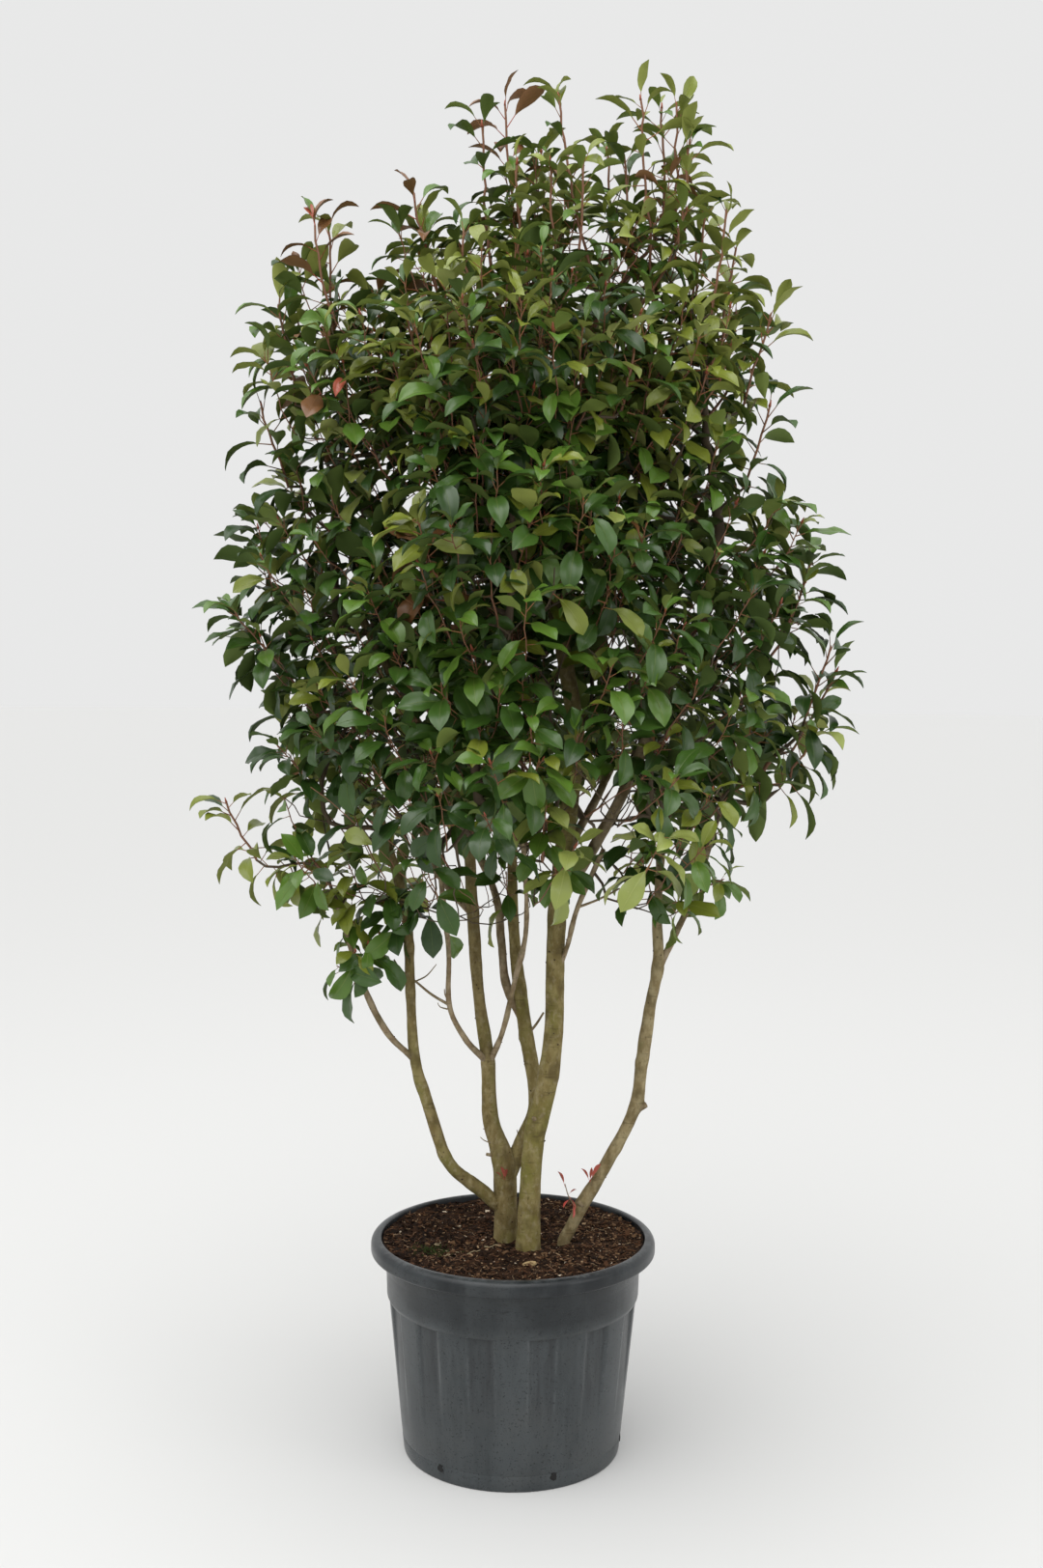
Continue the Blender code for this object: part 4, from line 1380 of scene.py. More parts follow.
def spread_out(places, spacing, taken=None):
    """Picks places in turn that keep their own spacing from the ones already picked."""
    picked = [] if taken is None else list(taken)
    chosen = []
    for index, (place, space) in enumerate(zip(places, spacing)):
        if picked:
            gaps = np.array(picked) - place
            if (np.einsum("ij,ij->i", gaps, gaps) < space * space).any():
                continue
        picked.append(place)
        chosen.append(index)
    return np.array(chosen, int)


class Growth:
    """The branching of the crown: nodes with a place, a heading and the node they grow from."""

    def __init__(self, room=60000):
        self.place = np.zeros((room, 3))
        self.heading = np.zeros((room, 3))
        self.parent = np.full(room, -1)
        self.open = np.zeros(room, bool)
        self.limit = np.full(room, 1.0)
        self.count = 0
        self.chains = []

    def add(self, place, heading, parent, is_open, limit=1.0):
        index = self.count
        self.place[index] = place
        self.heading[index] = heading
        self.parent[index] = parent
        self.open[index] = is_open
        self.limit[index] = limit
        self.count += 1
        return index

    def nearest(self, foot):
        """The open node from which a shoot would most naturally reach this foot."""
        count = self.count
        gap = foot - self.place[:count]
        far = np.linalg.norm(gap, axis=1) + 1e-9
        ahead = np.einsum("ij,ij->i", gap, self.heading[:count]) / far
        cost = far * (1.0 + TURN_COST * (1.0 - ahead)) + FALL_COST * np.maximum(0.0, -gap[:, 2])
        cost[~self.open[:count]] = np.inf
        return int(np.argmin(cost))

    def grow(self, foot, foot_way, tip, tip_way, open_share, kind, mass):
        """A new branch from the best node through a foot to a tip."""
        start = self.nearest(foot)
        origin = self.place[start]
        gap = foot - origin
        far = np.linalg.norm(gap)
        first = []
        if far > 0.012:
            way = gap / far
            leave = unit(0.55 * self.heading[start] + 0.75 * way)
            arrive = unit(0.5 * way + 0.8 * foot_way)
            first = list(curve(origin, leave * far, foot, arrive * far, NODE_STEP)[1:])
        last = np.linalg.norm(tip - foot)
        second = []
        if last > 0.005:
            second = list(curve(foot, foot_way * last, tip, tip_way * last, NODE_STEP)[1:])
        places = [origin] + first + second
        chain = [start]
        total = len(places) - 1
        for index in range(1, len(places)):
            sway = RANDOM.normal(0, TWIG_WOBBLE, 3) if index < total else 0.0
            place = places[index] + sway
            way = unit(place - self.place[chain[-1]])
            is_open = index <= total * open_share
            chain.append(self.add(place, way, chain[-1], is_open))
        self.chains.append({
            "nodes": chain, "shoot_from": len(first), "kind": kind, "mass": mass,
        })
        return self.chains[-1]


def unit(vector):
    return vector / (np.linalg.norm(vector) + 1e-12)


def curve(start, start_way, end, end_way, step):
    """Evenly timed places on a curve that leaves and arrives with the given ways."""
    count = max(2, int(round(np.linalg.norm(end - start) / step)) + 1)
    t = np.linspace(0, 1, count)[:, None]
    return (
        (2 * t ** 3 - 3 * t ** 2 + 1) * start + (t ** 3 - 2 * t ** 2 + t) * start_way
        + (-2 * t ** 3 + 3 * t ** 2) * end + (t ** 3 - t ** 2) * end_way
    )


def plant_limbs(growth, trees):
    """The limbs' own places, open to new branches only in and beside the masses."""
    for name, limb in LIMBS.items():
        path = limb_path(name, NODE_STEP)
        count = len(path)
        before = -1
        for index, place in enumerate(path):
            ahead = path[min(index + 1, count - 1)] - path[max(index - 1, 0)]
            near = any(
                tree.find_nearest(place, LIMB_NEAR)[0] is not None or is_inside(tree, place)
                for tree in trees.values()
            )
            radius = share_of(limb["radii"], index / (count - 1))
            way = np.array(ahead.normalized())
            is_open = near and place.z > LIMB_OPEN_HEIGHT
            before = growth.add(np.array(place), way, before, is_open, radius * TWIG_ON_LIMB)


def outward_from_axis(place):
    """The level direction from the crown's axis to a place, and how far off it is, 0 to 1."""
    out = np.array([place[0] - CROWN_MIDDLE, place[1], 0.0])
    far = np.linalg.norm(out / (CROWN_HALF_WIDTH, CROWN_HALF_DEPTH, 1.0))
    return unit(out), min(1.0, far)


def crown_share(height):
    """How far up the crown a height is: 0 at its foot, 1 at its top."""
    return min(max((height - CROWN_FOOT) / (CROWN_TOP - CROWN_FOOT), 0.0), 1.0)


def shoot_way(place):
    """Which way a shoot points: up in the top, outwards and up below, outwards at the foot."""
    out, far = outward_from_axis(place)
    rise = share_of((0.45, 0.90, 1.35, 1.8, 2.6), crown_share(place[2]))
    way = out * (0.15 + 0.50 * far) + np.array([0.0, 0.0, rise]) + RANDOM.normal(0, 0.15, 3)
    return unit(way)


# Low sprays that hang below the crown: the foot and the tip of each, in millimetres
LOW_SPRAYS = metres([
    ((-322, -66, 1010), (-365, -85, 1040)), ((-330, -68, 1040), (-325, -110, 1075)),
    ((-325, -67, 1020), (-300, -100, 1085)), ((-360, -76, 1140), (-450, -95, 1265)),
    ((-352, -75, 1100), (-395, -20, 1235)), ((-232, -43, 1170), (-300, -90, 1205)),
    ((-150, -90, 1150), (-205, -120, 1205)), ((-225, -42, 1100), (-250, -90, 1160)),
    ((345, -27, 1130), (330, -110, 1190)), ((372, -18, 1190), (420, -90, 1225)),
    ((296, -60, 1160), (255, -130, 1265)), ((-340, -72, 1090), (-335, -90, 1170)),
    ((90, -20, 1200), (80, -130, 1250)), ((-5, -15, 1080), (-20, -70, 1235)),
])

# The shoots that stand out of the crown's top and sides: the foot and the tip of each, in
# millimetres
SPIRES = metres([
    ((-370, -50, 2235), (-414, -60, 2532)), ((-384, 20, 2300), (-396, 20, 2545)),
    ((-455, -20, 2180), (-492, -30, 2380)), ((-150, -60, 2340), (-215, -70, 2595)),
    ((-137, 40, 2300), (-187, 50, 2480)), ((-60, -60, 2440), (-80, -70, 2727)),
    ((-100, -160, 2270), (-112, -170, 2500)), ((-12, 20, 2540), (-36, 20, 2797)),
    ((145, -50, 2415), (72, -60, 2787)), ((55, 60, 2470), (39, 60, 2715)),
    ((268, -40, 2383), (236, -50, 2788)), ((294, 40, 2540), (285, 40, 2800)),
    ((185, 50, 2450), (175, 50, 2715)), ((350, 0, 2400), (375, 0, 2580)),
    ((313, 0, 2520), (311, -10, 2790)), ((314, -60, 2500), (334, -70, 2705)),
    ((405, 20, 2340), (440, 20, 2515)), ((448, -30, 2180), (505, -40, 2370)),
    ((455, -40, 2020), (505, -50, 2185)), ((-470, -30, 2020), (-525, -40, 2180)),
    ((200, -220, 2150), (229, -240, 2330)), ((-87, -260, 2130), (-103, -270, 2320)),
    ((20, 200, 2280), (10, 220, 2520)), ((220, 170, 2280), (230, 190, 2500)),
    ((-180, 180, 2230), (-200, 200, 2450)), ((80, 120, 2420), (90, 130, 2640)),
    ((-540, -30, 1250), (-600, -30, 1370)), ((590, 0, 1520), (660, 0, 1650)),
    ((550, -30, 1740), (600, -30, 1880)), ((590, -60, 1560), (635, -70, 1700)),
    ((580, 50, 1480), (635, 60, 1590)), ((560, -50, 1430), (610, -70, 1530)),
    ((380, -80, 2360), (405, -100, 2560)), ((410, 60, 2280), (435, 80, 2440)),
    ((360, 100, 2360), (370, 120, 2570)), ((230, 20, 2480), (208, 20, 2700)),
    ((70, -100, 2400), (55, -120, 2650)), ((110, -120, 2400), (120, -140, 2640)),
    ((0, -100, 2420), (-10, -120, 2640)),
])


def grow_main_boughs(growth, places, owners, middles):
    """A bough up through the middle of each mass, the lowest mass first."""
    for number in np.argsort(middles[:, 2], kind="stable"):
        middle = middles[number]
        top = places[owners == number][:, 2].max()
        tip = middle + np.array([0.0, 0.0, 0.35 * (top - middle[2])])
        way = unit(shoot_way(middle) + np.array([0.0, 0.0, 0.6]))
        growth.grow(middle - way * BOUGH_FOOT, way, tip, way, 1.0, "bough", number)


def grow_boughs(growth, places, owners, depths):
    """More boughs deep in the crown, those nearest to the limbs first."""
    deep = np.nonzero(depths > BOUGH_DEPTH)[0]
    boughs = deep[spread_out(places[deep], np.full(len(deep), BOUGH_SPACING))]
    boughs = boughs[np.argsort([nearest_limb(growth, places[index]) for index in boughs])]
    for index in boughs:
        tip = places[index]
        way = shoot_way(tip)
        growth.grow(tip - way * BOUGH_FOOT, way, tip, way, 1.0, "bough", owners[index])


def grow_shoots(growth, places, owners, depths):
    """The leafy shoots that fill the crown, from the inside out."""
    shoots = []
    spires = np.array([tip for foot, tip in SPIRES])
    spacing = np.array([share_of(SHOOT_SPACINGS, crown_share(place[2])) for place in places])
    spacing *= openness(places)
    spacing *= 1.0 + (INNER_SPREAD - 1.0) * np.clip((depths - 0.08) / 0.10, 0, 1)
    usable = np.nonzero((depths > SHOOT_SETBACK) & keeps_windows_open(places, WINDOW_MARGIN))[0]
    chosen = usable[spread_out(places[usable], spacing[usable], taken=spires)]
    chosen = chosen[RANDOM.uniform(0, 1, len(chosen)) < leafiness(places[chosen])]
    chosen = chosen[np.argsort(-depths[chosen])]
    for index in chosen:
        tip = places[index]
        way = shoot_way(tip)
        length = RANDOM.uniform(*SHOOT_LENGTHS)
        length += TOP_SHOOT_EXTRA * max(0.0, (tip[2] - 2.1) / 0.6)
        out = outward_from_axis(tip)[0]
        foot = tip - length * unit(way + 0.25 * out + RANDOM.normal(0, 0.10, 3))
        if foot[2] < CLEAR_UNDER and CLEAR_FROM < foot[0] < CLEAR_TO:
            continue
        foot_way = unit(way + 0.45 * out)
        shoots.append(growth.grow(foot, foot_way, tip, way, SHOOT_OPEN, "shoot", owners[index]))
        shoots[-1]["depth"] = depths[index]
    return shoots


def grow_known_shoots(growth, middles):
    """The low sprays and the spires, whose places are known."""
    shoots = []
    for kind, table in (("shoot", LOW_SPRAYS), ("spire", SPIRES)):
        for foot, tip in np.array(table):
            way = unit(tip - foot)
            number = int(np.argmin(np.linalg.norm(middles - tip, axis=1)))
            if kind == "spire":
                lean = unit(way + np.array([0.0, 0.0, 0.5]) + RANDOM.normal(0, 0.05, 3))
                shoots.append(growth.grow(foot, way, tip, lean, SPIRE_OPEN, kind, number))
            else:
                foot = tip - 0.6 * (tip - foot)
                shoots.append(growth.grow(foot, way, tip, way, SPRAY_OPEN, kind, number))
            shoots[-1]["depth"] = 0.0
    return shoots


def grow_crown(names, trees):
    """The whole branching, and those of its branches that carry leaves."""
    growth = Growth()
    plant_limbs(growth, trees)
    skin = crown_skin(names, trees)
    places, owners, depths = crown_candidates(names, trees, skin)
    middles = np.array([places[owners == number].mean(axis=0) for number in range(len(names))])
    grow_main_boughs(growth, places, owners, middles)
    order = RANDOM.permutation(len(places))
    places, owners, depths = places[order], owners[order], depths[order]
    grow_boughs(growth, places, owners, depths)
    shoots = grow_shoots(growth, places, owners, depths) + grow_known_shoots(growth, middles)
    add_bare_twigs(growth, middles)
    return growth, shoots


def add_bare_twigs(growth, middles):
    """Thin twigs without leaves, that show under the crown's foot."""
    for _ in range(BARE_TWIG_COUNT):
        low, high = BARE_TWIG_REACH
        tip = RANDOM.uniform(low, high)
        way = shoot_way(tip)
        number = int(np.argmin(np.linalg.norm(middles - tip, axis=1)))
        if keeps_windows_open(tip[None], 0.0)[0]:
            growth.grow(tip - BARE_TWIG_LENGTH * way, way, tip, way, 1.0, "twig", number)


def nearest_limb(growth, place):
    """How far a place is from what has grown so far."""
    gaps = growth.place[:growth.count][growth.open[:growth.count]] - place
    return np.sqrt(np.einsum("ij,ij->i", gaps, gaps).min())


# Gaps where sky shows from the camera: x, z and radius in the plane of the crown's axis
SKY_GAPS = [(0.190, 1.376, 0.062), (0.160, 1.405, 0.040)]

# Where the crown is more open than elsewhere, or fuller, seen from the front: x, z, the
# reach along x and z, and how much further apart the shoots stand in the middle of it
OPEN_PLACES = [
    (-0.320, 2.600, 0.060, 0.080, 2.0), (-0.545, 2.150, 0.090, 0.090, 1.6),
    (0.520, 2.200, 0.060, 0.160, 1.6), (0.400, 2.460, 0.070, 0.080, 0.8),
    (0.330, 2.240, 0.120, 0.250, 0.86), (-0.540, 1.860, 0.080, 0.120, 1.1),
    (-0.400, 1.150, 0.060, 0.050, 1.6), (-0.430, 1.340, 0.100, 0.060, 1.2),
    (0.570, 1.380, 0.090, 0.100, 3.0), (0.560, 1.580, 0.100, 0.110, 0.66),
    (0.000, 1.560, 0.500, 0.130, 0.90), (0.490, 2.160, 0.060, 0.100, 2.6),
    (0.560, 1.960, 0.060, 0.070, 0.75), (-0.520, 1.220, 0.120, 0.100, 1.6),
    (-0.540, 1.600, 0.070, 0.110, 0.75),
]

# Parts that keep only a share of their shoots, each over the parts before it: the least and
# most x, the least and most z, and the share
THINNED_PARTS = [
    (-1.0, -0.22, 0.0, 1.36, 0.50), (-0.30, 0.26, 0.0, 1.38, 0.50), (0.20, 1.0, 0.0, 1.30, 0.70),
    (-0.10, 0.26, 0.0, 1.29, 0.14), (-0.30, -0.10, 0.0, 1.29, 0.28), (-1.0, 1.0, 2.50, 3.0, 0.80),
]


def openness(places):
    """How much further apart than usual the shoots stand at each place."""
    x, z = places[:, 0], places[:, 2]
    factor = np.ones(len(places))
    for middle_x, middle_z, reach_x, reach_z, most in OPEN_PLACES:
        off = ((x - middle_x) / reach_x) ** 2 + ((z - middle_z) / reach_z) ** 2
        factor *= 1.0 + (most - 1.0) * np.exp(-off)
    return factor


def leafiness(places):
    """The share of shoots that a part of the crown keeps: fewer where stems show through."""
    x, y, z = places.T
    share = np.ones(len(places))
    for low_x, high_x, low_z, high_z, kept in THINNED_PARTS:
        share[(x > low_x) & (x < high_x) & (z > low_z) & (z < high_z)] = kept
    share[(np.abs(x - 0.11) < 0.06) & (y < 0.0) & (z > 1.42) & (z < 1.85)] = 0.40
    below_waist = z < 1.45
    share[below_waist & (x > -0.42) & (x < -0.15)] *= 0.76
    share[below_waist & (x > 0.36 + 0.575 * (z - 1.185))] *= 0.35
    return share


def keeps_windows_open(places, margin):
    """False for the places that would close a gap that the photo shows as sky."""
    camera = np.array(CAMERA_PLACE)
    gap = places - camera
    seen = camera + gap * ((0.0 - camera[1]) / gap[:, 1])[:, None]
    keep = np.ones(len(places), bool)
    for x, z, radius in SKY_GAPS:
        keep &= np.hypot(seen[:, 0] - x, seen[:, 2] - z) > radius + margin
    return keep


def branch_radii(growth, shoots):
    """Each node's radius, from the number of shoots that it carries."""
    carried = np.zeros(growth.count)
    for shoot in shoots:
        carried[shoot["nodes"][-1]] += SPIRE_WEIGHT if shoot["kind"] == "spire" else 1.0
    for index in range(growth.count - 1, -1, -1):
        parent = growth.parent[index]
        if parent >= 0:
            carried[parent] += carried[index]
    return TIP_RADIUS * np.maximum(carried, 0.6) ** BRANCH_POWER


def twig_lines(growth, radius, chains):
    """Each chain's places, its widths, and the step from which it has young bark."""
    paths, widths, marks = [], [], []
    for chain in chains:
        nodes = chain["nodes"]
        path = growth.place[nodes]
        width = radius[nodes].copy()
        width[0] = min(width[1] * 1.12, growth.limit[nodes[0]])
        is_bough = chain["kind"] == "bough"
        slim = 1.0 if is_bough else np.linspace(1.0, 0.72, len(nodes))
        end = path[-1] + growth.heading[nodes[-1]] * width[-1] * 1.5
        paths.append(np.concatenate([path, end[None]]))
        widths.append(np.append(width * slim, POINT_RADIUS))
        marks.append(NO_YOUNG_BARK if is_bough else chain["shoot_from"])
    return paths, widths, marks


def twig_pieces(growth, radius, names, finishes):
    """The twigs of each mass, as one joined piece for each."""
    groups = {number: [] for number in range(len(names))}
    for chain in growth.chains:
        groups[chain["mass"]].append(chain)
    for number, chains in groups.items():
        paths, widths, marks = twig_lines(growth, radius, chains)
        verts, faces, materials = [], [], []
        offset = 0
        for sides, wanted in ((7, True), (5, False)):
            chosen = [
                index for index, width in enumerate(widths)
                if (np.max(width) > THICK_TWIG) == wanted
            ]
            if not chosen:
                continue
            some_verts, some_faces, owners = tube_arrays(
                [paths[index] for index in chosen], [widths[index] for index in chosen], sides
            )
            some_marks = np.array([marks[index] for index in chosen])
            verts.append(some_verts)
            faces.append(some_faces + offset)
            materials.append((owners[:, 1] >= some_marks[owners[:, 0]]).astype(int))
            offset += len(some_verts)
        name = f"twigs_{names[number]}"
        mesh = joined_mesh(name, *map(np.concatenate, (verts, faces, materials)))
        settle(add_piece(name, mesh, finishes), "twig_bark", names[number])


# Leaves


def blade_half_width(t):
    """The outline of a blade, one unit long: widest past the middle, with a short point."""
    full = max(0.0, math.sin(math.pi * t ** 1.20)) ** 0.86
    return full * (1.0 - 0.30 * max(0.0, (t - 0.80) / 0.20))


def arched(t, bend):
    """A place along a blade that arches by its bend: its turn, how far along and how far down."""
    turn = bend * t
    along = math.sin(turn) / bend if abs(bend) > 0.01 else t
    drop = (1.0 - math.cos(turn)) / bend if abs(bend) > 0.01 else 0.0
    return turn, along, drop


def shape_blade(bm, columns, rows, half_width, petiole, lift, look, kind):
    """One layer of a blade, on a grid that is narrowed, folded, arched and waved."""
    verts = bmesh.ops.create_grid(bm, x_segments=columns, y_segments=rows, size=1.0)["verts"]
    for face in faces_of(verts):
        face.material_index = kind
    bend, fold, wave, twist = look
    for vert in verts:
        side, t = vert.co.x, 0.5 * (vert.co.y + 1.0)
        t -= 0.045 * math.sin(math.tau * t)
        width = half_width * blade_half_width(t) + 0.004
        x = side * width
        height = abs(x) * math.tan(fold) - 1.3 * x * x + lift
        height += wave * abs(side) * math.sin(11.0 * t + twist * 3.0) * width
        turn, along, drop = arched(t, bend)
        roll = twist * t
        x, height = (x * math.cos(roll) - height * math.sin(roll),
                     x * math.sin(roll) + height * math.cos(roll))
        vert.co = Vector((x, petiole + along + height * math.sin(turn),
                          height * math.cos(turn) - drop))
    return verts


def leaf_pattern(look, half_width, petiole):
    """A leaf one unit long: upper face, underside, midrib and stalk."""
    bm = bmesh.new()
    shape_blade(bm, 4, 8, half_width, petiole, 0.0, look, 0)
    under = shape_blade(bm, 2, 8, half_width, petiole, -LEAF_THICKNESS, look, 1)
    bmesh.ops.reverse_faces(bm, faces=list(faces_of(under)))
    rib = bmesh.ops.create_grid(bm, x_segments=1, y_segments=5, size=1.0)["verts"]
    bend, fold = look[:2]
    for vert in rib:
        t = 0.46 * (vert.co.y + 1.0)
        side = vert.co.x * (0.013 - 0.010 * t)
        turn, along, drop = arched(t, bend)
        lift = RIB_LIFT + abs(side) * math.tan(fold)
        vert.co = Vector((side, petiole + along + lift * math.sin(turn), lift * math.cos(turn) - drop))
    for face in faces_of(rib):
        face.material_index = 2
    stalk = bmesh.ops.create_cone(bm, cap_ends=False, segments=3, radius1=0.017, radius2=0.012,
                                  depth=petiole * 1.12)["verts"]
    bmesh.ops.rotate(bm, verts=stalk, matrix=Matrix.Rotation(-math.pi / 2, 3, "X"))
    bmesh.ops.translate(bm, verts=stalk, vec=(0.0, petiole * 0.5, 0.002))
    for face in faces_of(stalk):
        face.material_index = 3
    return pattern_arrays(bm)


# The blades' shapes: how far each arches, folds, waves and twists, its half width and its
# stalk's length. The last four are the narrow, long-stalked leaves of the top.
LEAF_LOOKS = [
    ((0.90, 0.46, 0.12, 0.15), 0.238, 0.22), ((1.25, 0.54, 0.12, -0.20), 0.228, 0.22),
    ((1.45, 0.62, 0.10, 0.15), 0.220, 0.24), ((1.10, 0.40, 0.18, 0.40), 0.242, 0.20),
    ((1.30, 0.52, 0.14, -0.40), 0.232, 0.22), ((0.65, 0.34, 0.16, 0.05), 0.250, 0.20),
    ((1.05, 0.56, 0.10, 0.15), 0.184, 0.36), ((1.40, 0.62, 0.08, -0.20), 0.174, 0.40),
    ((1.60, 0.54, 0.10, 0.30), 0.186, 0.32), ((0.80, 0.48, 0.12, -0.15), 0.196, 0.30),
]
ROUND_LOOKS = 6


# How the tints are dealt low, in the middle and high in the crown, in the order of TINTS. The
#  middle deals more dark tints, painted shade in the crown's core; the top deals paler ones,
#  paler young growth with painted light from above
TINT_SHARES = np.array([
    (0.16, 0.35, 0.36, 0.10, 0.03, 0.0, 0.0, 0.0),
    (0.33, 0.36, 0.21, 0.08, 0.015, 0.003, 0.0, 0.0),
    (0.03, 0.13, 0.36, 0.41, 0.06, 0.006, 0.0, 0.0),
])


def tint_shares(height):
    low, middle, high = TINT_SHARES
    t = min(max((height - 1.2) / 1.4, 0.0), 1.0)
    shares = low + (middle - low) * t * 2 if t < 0.5 else middle + (high - middle) * (t * 2 - 1)
    return shares / shares.sum()


# Sprays whose tint shows in the photo: the place and the tint
TINTED_SPRAYS = [
    ((0.04, -0.36, 1.42), "pale"), ((0.10, -0.40, 1.33), "pale"), ((-0.33, -0.12, 1.07), "fresh"),
    ((-0.28, -0.02, 2.60), "bronze"), ((-0.04, 0.00, 2.79), "bronze"),
    ((-0.41, -0.06, 2.53), "bronze"),
]

# Single leaves that catch the eye: where the middle of each is, its length, tint and shape
SINGLE_LEAVES = [
    ((-0.400, -0.270, 2.150), 0.085, "bronze", 5), ((-0.340, -0.260, 2.200), 0.062, "russet", 7),
    ((-0.130, -0.430, 1.880), 0.090, "pale", 0), ((-0.310, -0.200, 1.320), 0.075, "pale", 3),
    ((-0.120, -0.030, 1.070), 0.080, "fresh", 5), ((-0.225, -0.360, 1.920), 0.080, "pale", 5),
    ((0.100, -0.420, 1.760), 0.085, "olive", 1), ((-0.430, -0.060, 2.590), 0.050, "russet", 8),
]


def tinted_shoots(shoots, growth):
    """Which shoot carries each spray of a known tint: the one whose tip is nearest."""
    tips = np.array([growth.place[shoot["nodes"][-1]] for shoot in shoots])
    return {
        int(np.argmin(np.linalg.norm(tips - place, axis=1))): TINT_NAMES.index(tint)
        for place, tint in TINTED_SPRAYS
    }


def spray_tint(number, known, tip):
    """A spray's tint: the known one, or one drawn for its height."""
    drawn = int(RANDOM.choice(len(TINT_NAMES), p=tint_shares(tip[2])))
    return known.get(number, drawn)


def add_leaf(leaves, place, turn, size, look, tint, mass):
    for key, value in zip(leaves, (place, turn, size, look, tint, mass)):
        leaves[key].append(value)


def add_single_leaves(leaves, growth, masses):
    for middle, length, tint, look in SINGLE_LEAVES:
        middle = np.array(middle)
        gaps = np.linalg.norm(growth.place[:growth.count] - middle, axis=1)
        foot = growth.place[int(np.argmin(np.abs(gaps - 0.62 * length)))]
        way = unit(middle - foot)
        turn = leaf_turn(way, unit(np.array([0.1, -0.85, 0.5])))
        mass = int(np.argmin(np.linalg.norm(masses - middle, axis=1)))
        add_leaf(leaves, foot, turn, length, look, TINT_NAMES.index(tint), mass)


def younger_tint(tint, height):
    """The tint of the youngest leaves of a spray."""
    if height > BRONZE_HEIGHT and RANDOM.uniform() < BRONZE_SHARE:
        return TINT_NAMES.index("bronze")
    return max(tint, min(tint + 1, TINT_NAMES.index("olive")))


def leaf_turn(way, normal):
    """The turn that points a leaf along its way, with its face towards the normal."""
    across = np.cross(way, normal)
    across /= np.linalg.norm(across) + 1e-12
    normal = np.cross(across, way)
    return np.stack([across, way, normal], axis=1)


def in_box(tip):
    """Whether a leaf's tip keeps within the crown's own size, a few centimetres more at most."""
    low, high = CAD_BOX
    return all(low[axis] - OVERHANG < tip[axis] < high[axis] + OVERHANG_TOP for axis in range(3))


def spray_look(shoot, height):
    """How a shoot's spray stands: in the crown's top, low in it, and how deep inside it is."""
    top = min(max((height - 1.9) / 0.7, 0.0), 1.0)
    low = min(max((1.75 - height) / 0.5, 0.0), 1.0)
    inner = min(max((shoot["depth"] - 0.07) / 0.12, 0.0), 1.0)
    return top, low, inner


def leaf_way(axis_way, roll, share, top, low):
    """Which way a leaf points: off the shoot by its place in the spray, and sagging a little."""
    side = unit(np.cross(axis_way, (0.37, 0.61, 0.70)))
    side = side * math.cos(roll) + np.cross(axis_way, side) * math.sin(roll)
    spread = share_of(LEAF_ANGLES, share) + 8 * low + RANDOM.normal(0, 11)
    spread = math.radians(spread)
    way = axis_way * math.cos(spread) + side * math.sin(spread)
    sag = (0.06 + 0.44 * share) * (1.0 - 0.6 * top) + 0.26 * low
    return unit(way - np.array([0.0, 0.0, sag * RANDOM.uniform(0.4, 1.3)]))


